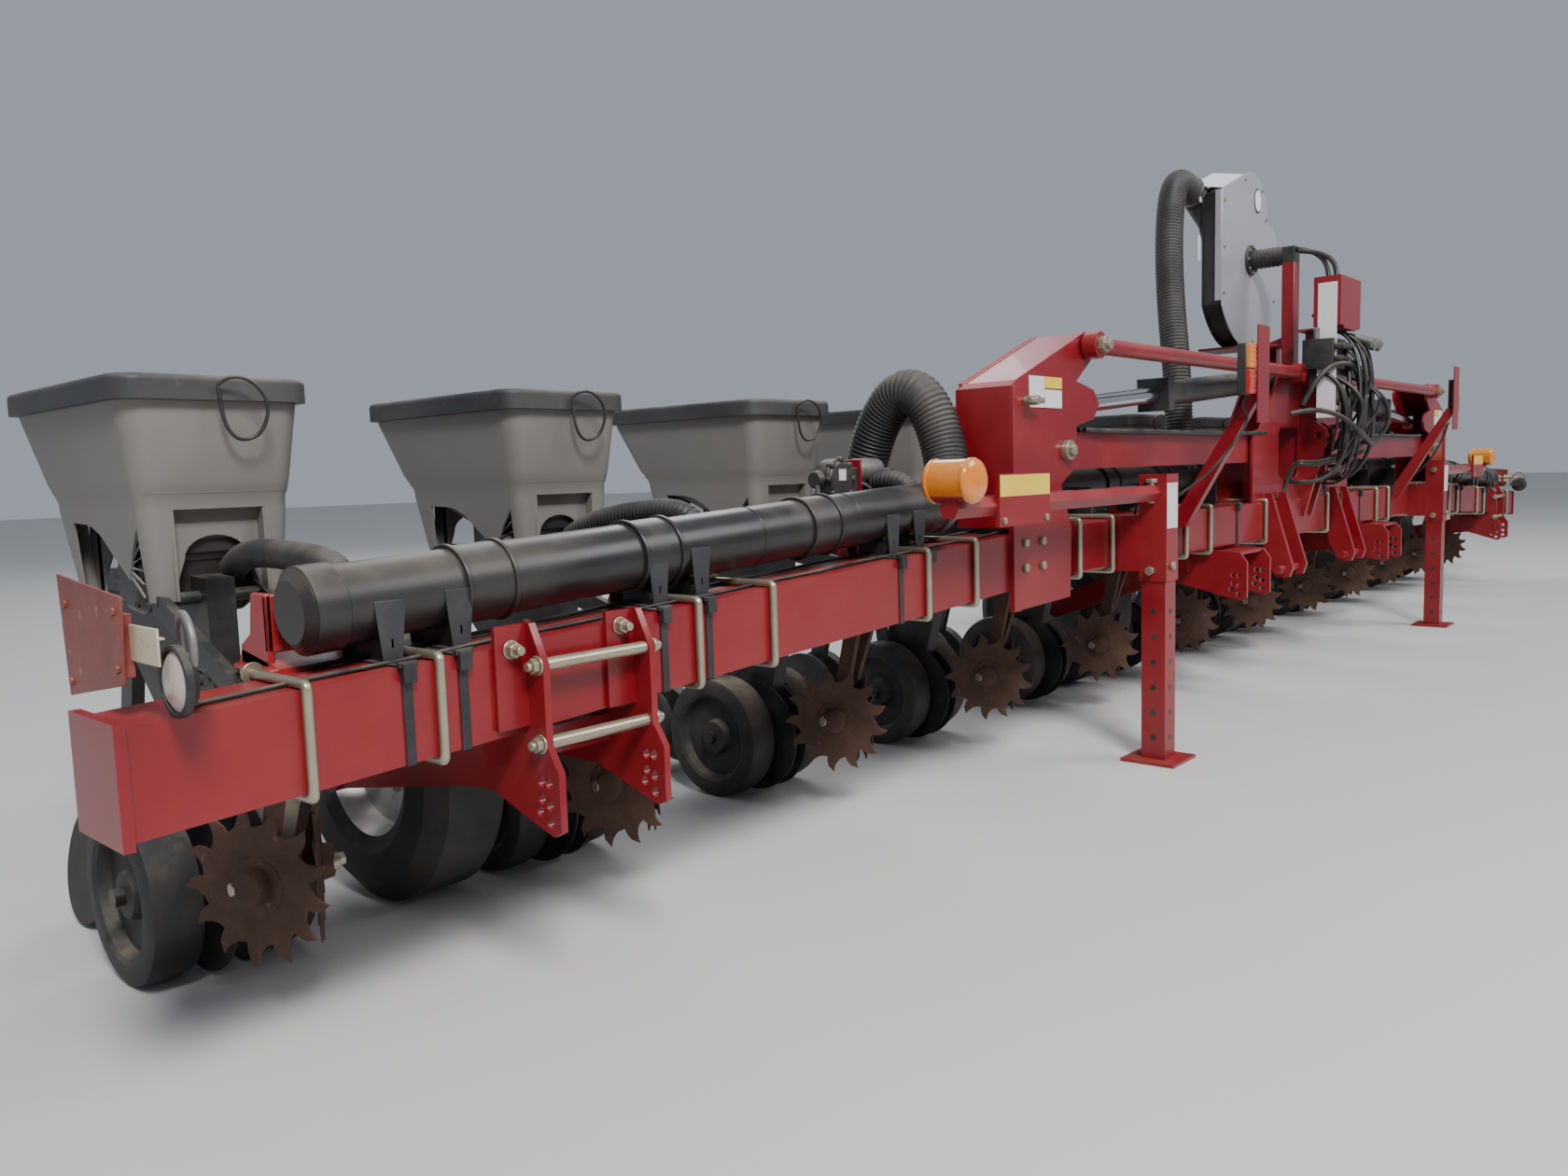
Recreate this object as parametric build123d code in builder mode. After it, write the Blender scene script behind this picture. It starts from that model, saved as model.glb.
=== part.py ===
from build123d import *
import os
from math import sin, cos, tan, radians, hypot

# Twelve row mounted row crop planter, stack fold, parked on its stands.
# +X runs along the toolbar, +Y is to the rear, +Z is up and z = 0 is the floor.
# The near wing lies at -X. Its pieces are modelled there and mirrored to +X.
# The origin lies on the floor at the machine's middle, half way from front to rear.

# Toolbar
ROW_SPACING = 914.4
ROWS = 12
BAR = 177.8
BAR_BOTTOM = 707.0
BAR_FRONT = -571.5
BAR_TOP = BAR_BOTTOM + BAR
BAR_END = 5444.0
BAR_SPLIT = 2446.0
SPLIT_GAP = 20.0
DROOP_START = 2590.0
DROOP = 3.04
END_PLATE = 18.0
END_MARGIN = 10.0

# Fold linkage, in the plane of the toolbar
LIFT_WING = (2524.0, 1133.0)
LIFT_LENGTH = 2100.0
LIFT_CENTRE_X = LIFT_WING[0] - LIFT_LENGTH
TIE_WING = (2380.0, 1485.0)
TIE_CENTRE_X = TIE_WING[0] - LIFT_LENGTH
ROD_EYE = (2330.0, 1290.0)
BARREL_EYE = (130.0, 1475.0)
LIFT_Y = 89.0
TIE_Y = -45.0
CYL_Y = 84.0
LIFT_TUBE = 127.0
LIFT_DEPTH = 114.0
LIFT_GAP = 12.0
TIE_DIA = 57.0
ROD_DIA = 64.0
BARREL_DIA = 102.0
BARREL_LENGTH = 1400.0
PIN = 44.0
PIN_FIT = 0.3

# Fold towers
TOWER_OUT = 2875.0
TOWER_IN = 2446.0
TOWER_PLATE = 12.0
TOWER_BOTTOM = 625.0
TOWER_TOP_OUT = 1355.0
CENTRE_PLATE = 12.0

# Stands
STAND_X = 2073.0
STAND_Y = -139.0
SLEEVE = 101.6
SLEEVE_WALL = 6.0
SLEEVE_BOTTOM = 660.0
SLEEVE_TOP = 1042.0
LEG_GAP = 0.5
LEG_TOP = 1020.0
FOOT = 200.0
FOOT_THICK = 12.0

# Row units
UNIT_ARM_FRONT = 330.0
UNIT_ARM_REAR = 640.0
OPENER_R = 190.5
OPENER_Y = 800.0
OPENER_X = 36.0
OPENER_THICK = 4.0
OPENER_TOE = 0.06
GAUGE_R = 203.0
GAUGE_W = 114.0
GAUGE_X = 128.0
GAUGE_SPINDLE = 20.0
GAUGE_FIT = 0.05
GAUGE_Y = 860.0
PRESS_R = 152.0
PRESS_Y = 1330.0
PRESS_ARM = 15.0
PRESS_LEAN = 0.2
CLEANER_R = 168.0
CLEANER_TEETH = 13
CLEANER_X = 72.0
CLEANER_Y = 420.0
CLEANER_Z = 300.0
CLEANER_STAGGER = 20.0
CLEANER_TOE = 28.0
CLEANER_THICK = 5.0
# outline of one tooth: share of the radius, share of the pitch
TOOTH = ((1.0, 0.0), (0.97, 0.32), (0.79, 0.42), (0.8, 0.62))

# Hoppers
HOPPER_W = 372.0
HOPPER_FRONT = 622.0
HOPPER_DEPTH = 700.0
HOPPER_SHELF = 1075.0
HOPPER_RIM = 1272.0
LID_H = 52.0
LID_OVER = 18.0
LID_GAP = 0.3
LID_HINGE_Y = 30.0
LID_HINGE_Z = 13.0
HINGE_R = 12.0
HINGE_PIN = 10.0
HINGE_HALF = 50.0

# Carrying wheels
WHEEL_R = 370.0
WHEEL_W = 235.0
WHEEL_Y = 905.0
RIM_R = 195.0

# Vacuum pipes
PIPE_R = 76.0
PIPE_Y = 130.0
PIPE_RISE = 115.0
HOSE_R = 62.0


def behind(distance):
    """Y of a point that lies this far behind the toolbar's front face."""
    return BAR_FRONT + distance


def drop(x):
    """How far the drooping wing lies below the centre section at this x."""
    return max(0.0, abs(x) - DROOP_START) * tan(radians(DROOP))


def upright(distance):
    """Plane that faces forwards, with X to the right and Z up; extrudes to the front."""
    return Plane.XZ.offset(-behind(distance))


def across(x):
    """Plane with Y to the right and Z up; extrudes towards +X."""
    return Plane.YZ.offset(x)


def row_x(number):
    """X of a row, counted from 1 at the near end."""
    return (number - (ROWS + 1) / 2) * ROW_SPACING


def save(part, name):
    part.label = name
    export_step(part, f"parts/{name}.step")


os.makedirs("parts", exist_ok=True)

SECTIONS = {"right": (1, 2, 3), "centre": (4, 5, 6, 7, 8, 9), "left": (10, 11, 12)}

# Centre toolbar
with BuildPart() as centre_toolbar:
    with BuildSketch(across(-BAR_SPLIT + SPLIT_GAP / 2)):
        with Locations((behind(BAR / 2), BAR_BOTTOM + BAR / 2)):
            RectangleRounded(BAR, BAR, 12)
    extrude(amount=2 * BAR_SPLIT - SPLIT_GAP)
save(centre_toolbar.part, "centre_toolbar")

# Wing toolbar with its end plate and its fold tower
wing_inner = -(LIFT_WING[0] + LIFT_TUBE / 2 + LIFT_GAP)
with BuildPart() as right_toolbar:
    with BuildSketch(upright(0)):
        with BuildLine():
            Polyline(
                (wing_inner, BAR_BOTTOM - drop(wing_inner)),
                (wing_inner, BAR_TOP - drop(wing_inner)),
                (-BAR_END, BAR_TOP - drop(BAR_END)),
                (-BAR_END, BAR_BOTTOM - drop(BAR_END)),
                close=True,
            )
        make_face()
    extrude(amount=-BAR)
    with BuildSketch(across(-BAR_END - END_PLATE)):
        with Locations((behind(BAR / 2), BAR_BOTTOM + BAR / 2 - drop(BAR_END))):
            Rectangle(BAR + 2 * END_MARGIN, BAR + 2 * END_MARGIN)
    extrude(amount=END_PLATE)

tower_outline = [
    (-TOWER_OUT, TOWER_BOTTOM),
    (-TOWER_IN - 50, TOWER_BOTTOM + 12),
    (-TOWER_IN - 40, TOWER_BOTTOM + 250),
    (-TOWER_IN - 110, TOWER_BOTTOM + 395),
    (-TOWER_IN, TOWER_BOTTOM + 455),
    (-TOWER_IN, ROD_EYE[1] - 75),
    (-ROD_EYE[0] + 10, ROD_EYE[1] - 50),
    (-ROD_EYE[0] + 50, ROD_EYE[1]),
    (-ROD_EYE[0] + 10, ROD_EYE[1] + 50),
    (-TOWER_IN, ROD_EYE[1] + 75),
    (-TIE_WING[0] + 40, TIE_WING[1] - 45),
    (-TIE_WING[0] + 50, TIE_WING[1]),
    (-TIE_WING[0], TIE_WING[1] + 50),
    (-TOWER_OUT + 30, TOWER_TOP_OUT),
    (-TOWER_OUT, TOWER_TOP_OUT - 20),
]
with BuildPart() as right_tower:
    add(right_toolbar.part)
    with BuildSketch(upright(0)):
        with BuildLine():
            Polyline(*tower_outline, close=True)
        make_face()
    extrude(amount=TOWER_PLATE)
    with BuildSketch(upright(BAR + TOWER_PLATE)):
        with BuildLine():
            Polyline(
                (-TOWER_OUT, BAR_TOP + 5),
                (-TOWER_IN, BAR_TOP + 5),
                *tower_outline[5:],
                close=True,
            )
        make_face()
    extrude(amount=TOWER_PLATE)
    with BuildSketch(across(-TOWER_OUT)):
        with Locations((behind(BAR / 2), (BAR_TOP + TOWER_TOP_OUT) / 2 - 15)):
            Rectangle(BAR + 2, TOWER_TOP_OUT - BAR_TOP - 40)
    extrude(amount=TOWER_PLATE)
    # pivot pins of the lift arm and the tie link
    with BuildSketch(upright(BAR + TOWER_PLATE)):
        with Locations((-LIFT_WING[0], LIFT_WING[1])):
            Circle(PIN / 2)
    extrude(amount=BAR + TOWER_PLATE)
    with BuildSketch(upright(0)):
        with Locations((-TIE_WING[0], TIE_WING[1])):
            Circle(PIN / 2)
    extrude(amount=TOWER_PLATE + 65)
save(right_tower.part, "right_wing_frame")
with BuildPart() as left_tower:
    mirror(right_tower.part, about=Plane.YZ)
save(left_tower.part, "left_wing_frame")

# Centre tower: two plates across the machine that carry the inner pivots
FRONT_PLATE_Y = 21.0
REAR_PLATE_Y = 169.0
centre_outline = [
    (-720, BAR_TOP),
    (720, BAR_TOP),
    (720, LIFT_WING[1] + 70),
    (620, LIFT_WING[1] + 90),
    (330, TIE_WING[1] + 50),
    (-330, TIE_WING[1] + 50),
    (-620, LIFT_WING[1] + 90),
    (-720, LIFT_WING[1] + 70),
]
with BuildPart() as centre_tower:
    for y in (FRONT_PLATE_Y, REAR_PLATE_Y):
        with BuildSketch(upright(y)):
            with BuildLine():
                Polyline(*centre_outline, close=True)
            make_face()
            with Locations((-230, 1110), (230, 1110)):
                RectangleRounded(300, 240, 40, mode=Mode.SUBTRACT)
        extrude(amount=CENTRE_PLATE)
    # web between the plates and the pivot pins
    with BuildSketch(Plane.XY.offset(BAR_TOP)):
        with Locations((0, behind((FRONT_PLATE_Y + REAR_PLATE_Y - CENTRE_PLATE) / 2))):
            Rectangle(120, REAR_PLATE_Y - FRONT_PLATE_Y + CENTRE_PLATE)
    extrude(amount=400)
    for side in (-1, 1):
        with BuildSketch(upright(REAR_PLATE_Y)):
            with Locations((side * LIFT_CENTRE_X, LIFT_WING[1]), (side * BARREL_EYE[0], BARREL_EYE[1])):
                Circle(PIN / 2)
        extrude(amount=REAR_PLATE_Y - FRONT_PLATE_Y + CENTRE_PLATE)
        with BuildSketch(upright(FRONT_PLATE_Y)):
            with Locations((side * TIE_CENTRE_X, TIE_WING[1])):
                Circle(PIN / 2)
        extrude(amount=CENTRE_PLATE + 70)
# Lift arm, tie link, cylinder barrel and rod of the near side
with BuildPart() as right_lift_arm:
    with BuildSketch(upright(LIFT_Y + LIFT_DEPTH / 2)):
        with Locations((-(LIFT_WING[0] + LIFT_CENTRE_X) / 2, LIFT_WING[1])):
            SlotCenterToCenter(LIFT_LENGTH, LIFT_TUBE)
        with Locations((-LIFT_WING[0], LIFT_WING[1]), (-LIFT_CENTRE_X, LIFT_WING[1])):
            Circle(PIN / 2 + PIN_FIT, mode=Mode.SUBTRACT)
    extrude(amount=LIFT_DEPTH)
save(right_lift_arm.part, "right_lift_arm")

with BuildPart() as right_tie_link:
    with BuildSketch(Plane.YZ.offset(-TIE_WING[0] + 35)):
        with Locations((behind(TIE_Y), TIE_WING[1])):
            Circle(TIE_DIA / 2)
    extrude(amount=TIE_WING[0] - TIE_CENTRE_X - 70)
    with BuildSketch(upright(TIE_Y + 25)):
        for x in (TIE_WING[0], TIE_CENTRE_X):
            with Locations((-x, TIE_WING[1])):
                Circle(45)
        for x in (TIE_WING[0], TIE_CENTRE_X):
            with Locations((-x, TIE_WING[1])):
                Circle(PIN / 2 + PIN_FIT, mode=Mode.SUBTRACT)
    extrude(amount=50)
save(right_tie_link.part, "right_tie_link")

cyl_dx = ROD_EYE[0] - BARREL_EYE[0]
cyl_dz = ROD_EYE[1] - BARREL_EYE[1]
cyl_length = hypot(cyl_dx, cyl_dz)
cyl_dir = (-cyl_dx / cyl_length, 0, cyl_dz / cyl_length)


def cylinder_plane(distance):
    """Plane square to the fold cylinder, this far from the barrel's eye."""
    start = Vector(-BARREL_EYE[0], behind(CYL_Y), BARREL_EYE[1])
    return Plane(origin=start + Vector(*cyl_dir) * distance, z_dir=cyl_dir)


ROD_BORE_DEPTH = 900.0
with BuildPart() as right_barrel:
    with BuildSketch(cylinder_plane(40)):
        Circle(BARREL_DIA / 2)
    extrude(amount=BARREL_LENGTH)
    with BuildSketch(cylinder_plane(40 + BARREL_LENGTH)):
        Rectangle(130, 130)
        Circle(ROD_DIA / 2 + 0.3, mode=Mode.SUBTRACT)
    extrude(amount=55)
    with BuildSketch(cylinder_plane(40 + BARREL_LENGTH)):
        Circle(ROD_DIA / 2 + 0.3)
    extrude(amount=-ROD_BORE_DEPTH, mode=Mode.SUBTRACT)
    with BuildSketch(upright(CYL_Y + 30)):
        with Locations((-BARREL_EYE[0], BARREL_EYE[1])):
            Circle(50)
    extrude(amount=60)
    with BuildSketch(upright(CYL_Y + 30)):
        with Locations((-BARREL_EYE[0], BARREL_EYE[1])):
            Circle(PIN / 2 + PIN_FIT)
    extrude(amount=60, mode=Mode.SUBTRACT)
save(right_barrel.part, "right_cylinder_barrel")

with BuildPart() as right_rod:
    with BuildSketch(cylinder_plane(cyl_length - 40)):
        Circle(ROD_DIA / 2)
    extrude(amount=-(cyl_length - 40 - (40 + BARREL_LENGTH) + 350))
    with BuildSketch(upright(CYL_Y + 30)):
        with Locations((-ROD_EYE[0], ROD_EYE[1])):
            Circle(48)
    extrude(amount=60)
save(right_rod.part, "right_cylinder_rod")

for piece, name in (
    (right_lift_arm, "left_lift_arm"),
    (right_tie_link, "left_tie_link"),
    (right_barrel, "left_cylinder_barrel"),
    (right_rod, "left_cylinder_rod"),
):
    with BuildPart() as mirrored:
        mirror(piece.part, about=Plane.YZ)
    save(mirrored.part, name)

# Three point hitch: four side plates, lower link pins and top link pin
HITCH_X = 482.0
HITCH_HALF = 95.0
HITCH_PLATE = 25.0
HITCH_PIN_DIA = 36.6
HITCH_PIN_Y = -85.0
HITCH_PIN_Z = 575.0
TOP_HOLE_DIA = 32.4
TOP_PIN_Y = -75.0
TOP_PIN_Z = 1190.0
with BuildPart() as hitch:
    for centre in (-HITCH_X, HITCH_X):
        for side in (-1, 1):
            with BuildSketch(across(centre + side * HITCH_HALF - HITCH_PLATE / 2)):
                with BuildLine():
                    Polyline(
                        (behind(0), BAR_TOP + 40),
                        (behind(0), BAR_BOTTOM - 60),
                        (behind(HITCH_PIN_Y + 30), HITCH_PIN_Z - 40),
                        (behind(HITCH_PIN_Y - 30), HITCH_PIN_Z - 35),
                        (behind(HITCH_PIN_Y - 45), HITCH_PIN_Z + 10),
                        (behind(-30), BAR_TOP + 40),
                        close=True,
                    )
                make_face()
            extrude(amount=HITCH_PLATE)
        with BuildSketch(across(centre - HITCH_HALF - 85)):
            with Locations((behind(HITCH_PIN_Y), HITCH_PIN_Z)):
                Circle(HITCH_PIN_DIA / 2)
        extrude(amount=2 * HITCH_HALF + 120)
    for side in (-1, 1):
        with BuildSketch(across(side * 55 - 10)):
            with BuildLine():
                Polyline(
                    (behind(0), BAR_TOP - 90),
                    (behind(0), BAR_TOP + 10),
                    (behind(FRONT_PLATE_Y - CENTRE_PLATE), BAR_TOP + 10),
                    (behind(FRONT_PLATE_Y - CENTRE_PLATE), TOP_PIN_Z + 120),
                    (behind(TOP_PIN_Y - 35), TOP_PIN_Z + 30),
                    (behind(TOP_PIN_Y - 35), TOP_PIN_Z - 40),
                    (behind(-12), BAR_TOP - 90),
                    close=True,
                )
            make_face()
            with Locations((behind(TOP_PIN_Y), TOP_PIN_Z)):
                Circle(TOP_HOLE_DIA / 2, mode=Mode.SUBTRACT)
        extrude(amount=20)
save(hitch.part, "hitch")

# Vacuum fan: scroll housing, front plate, hydraulic motor and its post
FAN_X = 40.0
FAN_Z = 2040.0
FAN_Y = 300.0
FAN_R = 400.0
with BuildPart() as fan:
    with BuildSketch(upright(FAN_Y + 150)):
        with BuildLine():
            Polyline(
                (FAN_X - 395, FAN_Z + 440),
                (FAN_X - 395, FAN_Z - 120),
                (FAN_X - 250, FAN_Z - 290),
                (FAN_X - 40, FAN_Z - 385),
                (FAN_X + 120, FAN_Z - 385),
                (FAN_X + 300, FAN_Z - 270),
                (FAN_X + 400, FAN_Z - 60),
                (FAN_X + 390, FAN_Z + 120),
                (FAN_X + 280, FAN_Z + 300),
                (FAN_X + 270, FAN_Z + 420),
                (FAN_X + 160, FAN_Z + 490),
                (FAN_X - 100, FAN_Z + 500),
                close=True,
            )
        make_face()
    extrude(amount=150)
    with BuildSketch(upright(FAN_Y)):
        with Locations((FAN_X, FAN_Z)):
            Circle(55)
    extrude(amount=160)
save(fan.part, "vacuum_fan")
FAN_FOOT = FAN_Z - 385
with BuildPart() as tower_with_post:
    add(centre_tower.part)
    for x in (-80, 80):
        with BuildSketch(Plane.XY.offset(BAR_TOP)):
            with Locations((x, behind(REAR_PLATE_Y + 50))):
                Rectangle(60, 100)
        extrude(amount=FAN_FOOT - BAR_TOP)
    with BuildSketch(Plane.XY.offset(FAN_FOOT)):
        with Locations((0, behind(REAR_PLATE_Y + 165))):
            Rectangle(260, 330)
    extrude(amount=-12)
save(tower_with_post.part, "centre_tower")

# Valve blocks and the control box over the hitch
BOX_Z = 1700.0
with BuildPart() as control_box:
    with BuildSketch(Plane.XY.offset(BOX_Z)):
        with Locations((-60, behind(-150))):
            Rectangle(320, 120)
    extrude(amount=230)
    # shelf under the box and the post between the mast plates
    with BuildSketch(Plane.XY.offset(BOX_Z - 12)):
        with Locations((-60, behind(-105))):
            Rectangle(200, 210)
    extrude(amount=12)
    with BuildSketch(Plane.XY.offset(TOP_PIN_Z + 50)):
        with Locations((0, behind(-30))):
            Rectangle(90, 60)
    extrude(amount=BOX_Z - TOP_PIN_Z - 50)
save(control_box.part, "control_box")

# Vacuum pipes
wing_pipe_dir = (cos(radians(DROOP)), 0, sin(radians(DROOP)))
WING_PIPE = (5108.0, 3089.0)
with BuildPart() as right_pipe:
    x0 = -WING_PIPE[0]
    z0 = BAR_TOP - drop(x0) + PIPE_RISE
    with BuildSketch(Plane(origin=(x0, behind(PIPE_Y), z0), z_dir=wing_pipe_dir)):
        Circle(PIPE_R)
    extrude(amount=(WING_PIPE[0] - WING_PIPE[1]) / cos(radians(DROOP)))
    # saddle legs
    for x in (-4970, -4825, -4309, -4177, -3416, -3288):
        with BuildSketch(Plane.XY.offset(BAR_TOP - drop(x) + 0.5)):
            with Locations((x, behind(PIPE_Y))):
                Rectangle(12, 90)
        extrude(amount=PIPE_RISE - 0.5)
save(right_pipe.part, "right_wing_pipe")
with BuildPart() as left_pipe:
    mirror(right_pipe.part, about=Plane.YZ)
save(left_pipe.part, "left_wing_pipe")
CENTRE_PIPE = (2288.0, 760.0)
with BuildPart() as centre_pipes:
    for side in (-1, 1):
        x0 = -CENTRE_PIPE[0] if side < 0 else CENTRE_PIPE[1]
        with BuildSketch(across(x0)):
            with Locations((behind(PIPE_Y + 130), BAR_TOP + PIPE_RISE)):
                Circle(PIPE_R)
        extrude(amount=CENTRE_PIPE[0] - CENTRE_PIPE[1])
        if side < 0:
            with BuildSketch(Plane.XY.offset(BAR_TOP + PIPE_RISE)):
                with Locations((FAN_X - 980, behind(PIPE_Y + 130))):
                    Circle(HOSE_R)
            extrude(amount=110)
        for x in (2100, 1500, 900):
            with BuildSketch(Plane.XY.offset(BAR_TOP)):
                with Locations((side * x, behind(PIPE_Y + 70))):
                    Rectangle(12, 190)
            extrude(amount=PIPE_RISE)
save(centre_pipes.part, "centre_pipes")

# Stands
leg = SLEEVE - 2 * SLEEVE_WALL - 2 * LEG_GAP
with BuildPart() as stand_sleeves:
    for side in (-1, 1):
        with BuildSketch(Plane.XY.offset(SLEEVE_BOTTOM)):
            with Locations((side * STAND_X, behind(STAND_Y))):
                Rectangle(SLEEVE, SLEEVE)
                Rectangle(SLEEVE - 2 * SLEEVE_WALL, SLEEVE - 2 * SLEEVE_WALL, mode=Mode.SUBTRACT)
        extrude(amount=SLEEVE_TOP - SLEEVE_BOTTOM)
        # bracket to the toolbar
        with BuildSketch(Plane.XY.offset(BAR_BOTTOM - 10)):
            with Locations((side * STAND_X, behind((STAND_Y + SLEEVE / 2) / 2))):
                Rectangle(150, -STAND_Y - SLEEVE / 2)
        extrude(amount=BAR + 20)
save(stand_sleeves.part, "stand_sleeves")
for side, name in ((-1, "right_stand_leg"), (1, "left_stand_leg")):
    with BuildPart() as stand_leg:
        with BuildSketch(Plane.XY):
            with Locations((side * STAND_X, behind(STAND_Y))):
                Rectangle(FOOT, FOOT)
        extrude(amount=FOOT_THICK)
        with BuildSketch(Plane.XY.offset(FOOT_THICK)):
            with Locations((side * STAND_X, behind(STAND_Y))):
                Rectangle(leg, leg)
        extrude(amount=LEG_TOP - FOOT_THICK)
    save(stand_leg.part, name)

# Lamp arms in front of the fold line, with their plates and lamps
with BuildPart() as lamp_arms:
    for side in (-1, 1):
        inner = STAND_X + SLEEVE / 2
        with BuildSketch(across(side * (STAND_X + SLEEVE / 2))):
            with Locations((behind(STAND_Y), 975)):
                RegularPolygon(32, 6)
        extrude(amount=side * 1300)
        with BuildSketch(upright(STAND_Y - 26)):
            with Locations((side * 3080, 990)):
                Rectangle(290, 150)
        extrude(amount=12)
        with BuildSketch(upright(STAND_Y)):
            with Locations((side * 3395, 1010 + 40)):
                Circle(60)
        extrude(amount=60, both=True)

# Sign arms with their plates and lamps
SIGN_X = 1585.0
with BuildPart() as sign_arms:
    add(lamp_arms.part)
    for side in (-1, 1):
        with BuildSketch(across(side * SIGN_X - 20)):
            with BuildLine():
                Polyline(
                    (behind(0), BAR_TOP - 10),
                    (behind(0), BAR_TOP - 60),
                    (behind(-44), BAR_TOP - 60),
                    (behind(-330), 1330),
                    (behind(-290), 1345),
                    close=True,
                )
            make_face()
        extrude(amount=40)
        with BuildSketch(upright(-329)):
            with Locations((side * SIGN_X, 1400)):
                Rectangle(120, 360)
        extrude(amount=5)
save(sign_arms.part, "marker_arms")

# Large ribbed hoses, as smooth tubes on straight runs and tangent arcs
WING_HOSE_R = 76.0
with BuildPart() as fan_hose:
    with BuildLine() as path:
        FilletPolyline(
            (FAN_X - 395, behind(FAN_Y + 75), 2400),
            (FAN_X - 620, behind(FAN_Y + 75), 2400),
            (FAN_X - 800, behind(FAN_Y + 85), 2100),
            (FAN_X - 980, behind(PIPE_Y + 130), 1500),
            (FAN_X - 980, behind(PIPE_Y + 130), BAR_TOP + PIPE_RISE + 110.3),
            radius=140,
        )
    with BuildSketch(Plane(origin=path.line @ 0, z_dir=path.line % 0)):
        Circle(HOSE_R)
    sweep(path=path.line)
save(fan_hose.part, "fan_hoses")

pipe_end_z = BAR_TOP + PIPE_RISE - drop(WING_PIPE[1])
with BuildPart() as right_hose:
    with BuildLine() as path:
        FilletPolyline(
            (-WING_PIPE[1] + 0.3, behind(PIPE_Y), pipe_end_z),
            (-WING_PIPE[1] + 90 * wing_pipe_dir[0], behind(PIPE_Y), pipe_end_z + 90 * wing_pipe_dir[2]),
            (-2990, behind(PIPE_Y + 30), 1120),
            (-2995, behind(PIPE_Y + 110), 1290),
            (-2990, behind(PIPE_Y + 250), 1330),
            (-2970, behind(PIPE_Y + 350), 1230),
            (-2950, behind(PIPE_Y + 390), 1080),
            radius=80,
        )
    with BuildSketch(Plane(origin=path.line @ 0, z_dir=path.line % 0)):
        Circle(WING_HOSE_R)
    sweep(path=path.line)
save(right_hose.part, "right_wing_hose")
with BuildPart() as left_hose:
    mirror(right_hose.part, about=Plane.YZ)
save(left_hose.part, "left_wing_hose")

# Carrying wheel brackets and wheels
S_PLATE_HALF = 137.0


wheel_places = {
    "right_wing": (-4578.0, -4500.0),
    "right_centre": (-1080.0, -915.0),
    "left_centre": (1080.0, 915.0),
    "left_wing": (4578.0, 4500.0),
}
ARM_HALF = 25.0

for name, keys in (
    ("right_wheel_bracket", ("right_wing",)),
    ("centre_wheel_brackets", ("right_centre", "left_centre")),
    ("left_wheel_bracket", ("left_wing",)),
):
    with BuildPart() as bracket:
        for key in keys:
            x_plates, x_wheel = wheel_places[key]
            top = BAR_TOP - drop(x_plates)
            low = BAR_BOTTOM - drop(x_plates)
            outward = -1 if x_plates < 0 else 1
            x_arm = x_wheel + outward * (WHEEL_W / 2 + 45)
            # side plates round the toolbar
            for side in (-1, 1):
                with BuildSketch(across(x_plates + side * S_PLATE_HALF - 8)):
                    with BuildLine():
                        Polyline(
                            (behind(0), top + 45),
                            (behind(-60), top + 20),
                            (behind(-60), low - 30),
                            (behind(-30), low - 160),
                            (behind(60), low - 200),
                            (behind(150), low - 100),
                            (behind(260), low - 160),
                            (behind(260), low - 12),
                            (behind(0), low - 12),
                            close=True,
                        )
                    make_face()
                extrude(amount=16)
            # cross bar and the arm back to the wheel's spindle
            with BuildSketch(across(x_plates - S_PLATE_HALF - 60)):
                with Locations((behind(120), low - 60)):
                    Rectangle(80, 60)
            extrude(amount=2 * S_PLATE_HALF + 120)
            with BuildSketch(across(x_arm - ARM_HALF)):
                with BuildLine():
                    Polyline(
                        (behind(90), low - 30),
                        (behind(300), low - 60),
                        (behind(WHEEL_Y), WHEEL_R + 50),
                        (behind(WHEEL_Y + 50), WHEEL_R),
                        (behind(WHEEL_Y), WHEEL_R - 50),
                        (behind(90), low - 150),
                        close=True,
                    )
                make_face()
            extrude(amount=2 * ARM_HALF)
            with BuildSketch(across(x_arm)):
                with Locations((behind(WHEEL_Y), WHEEL_R)):
                    Circle(30)
            extrude(amount=-outward * (WHEEL_W / 2 + 60))
    save(bracket.part, name)

for key, (x_plates, x_wheel) in wheel_places.items():
    with BuildPart() as wheel:
        with BuildSketch(Plane(origin=(x_wheel, behind(WHEEL_Y), WHEEL_R), x_dir=(1, 0, 0), z_dir=(0, -1, 0))):
            with BuildLine():
                Polyline(
                    (-WHEEL_W / 2 + 20, RIM_R),
                    (-WHEEL_W / 2, RIM_R + 40),
                    (-WHEEL_W / 2, WHEEL_R - 50),
                    (-WHEEL_W / 2 + 40, WHEEL_R),
                    (WHEEL_W / 2 - 40, WHEEL_R),
                    (WHEEL_W / 2, WHEEL_R - 50),
                    (WHEEL_W / 2, RIM_R + 40),
                    (WHEEL_W / 2 - 20, RIM_R),
                    (30, RIM_R - 20),
                    (30, 31),
                    (-30, 31),
                    (-30, RIM_R - 20),
                    close=True,
                )
            make_face()
        revolve(axis=Axis((x_wheel, behind(WHEEL_Y), WHEEL_R), (1, 0, 0)))
    save(wheel.part, f"{key}_wheel")

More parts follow.
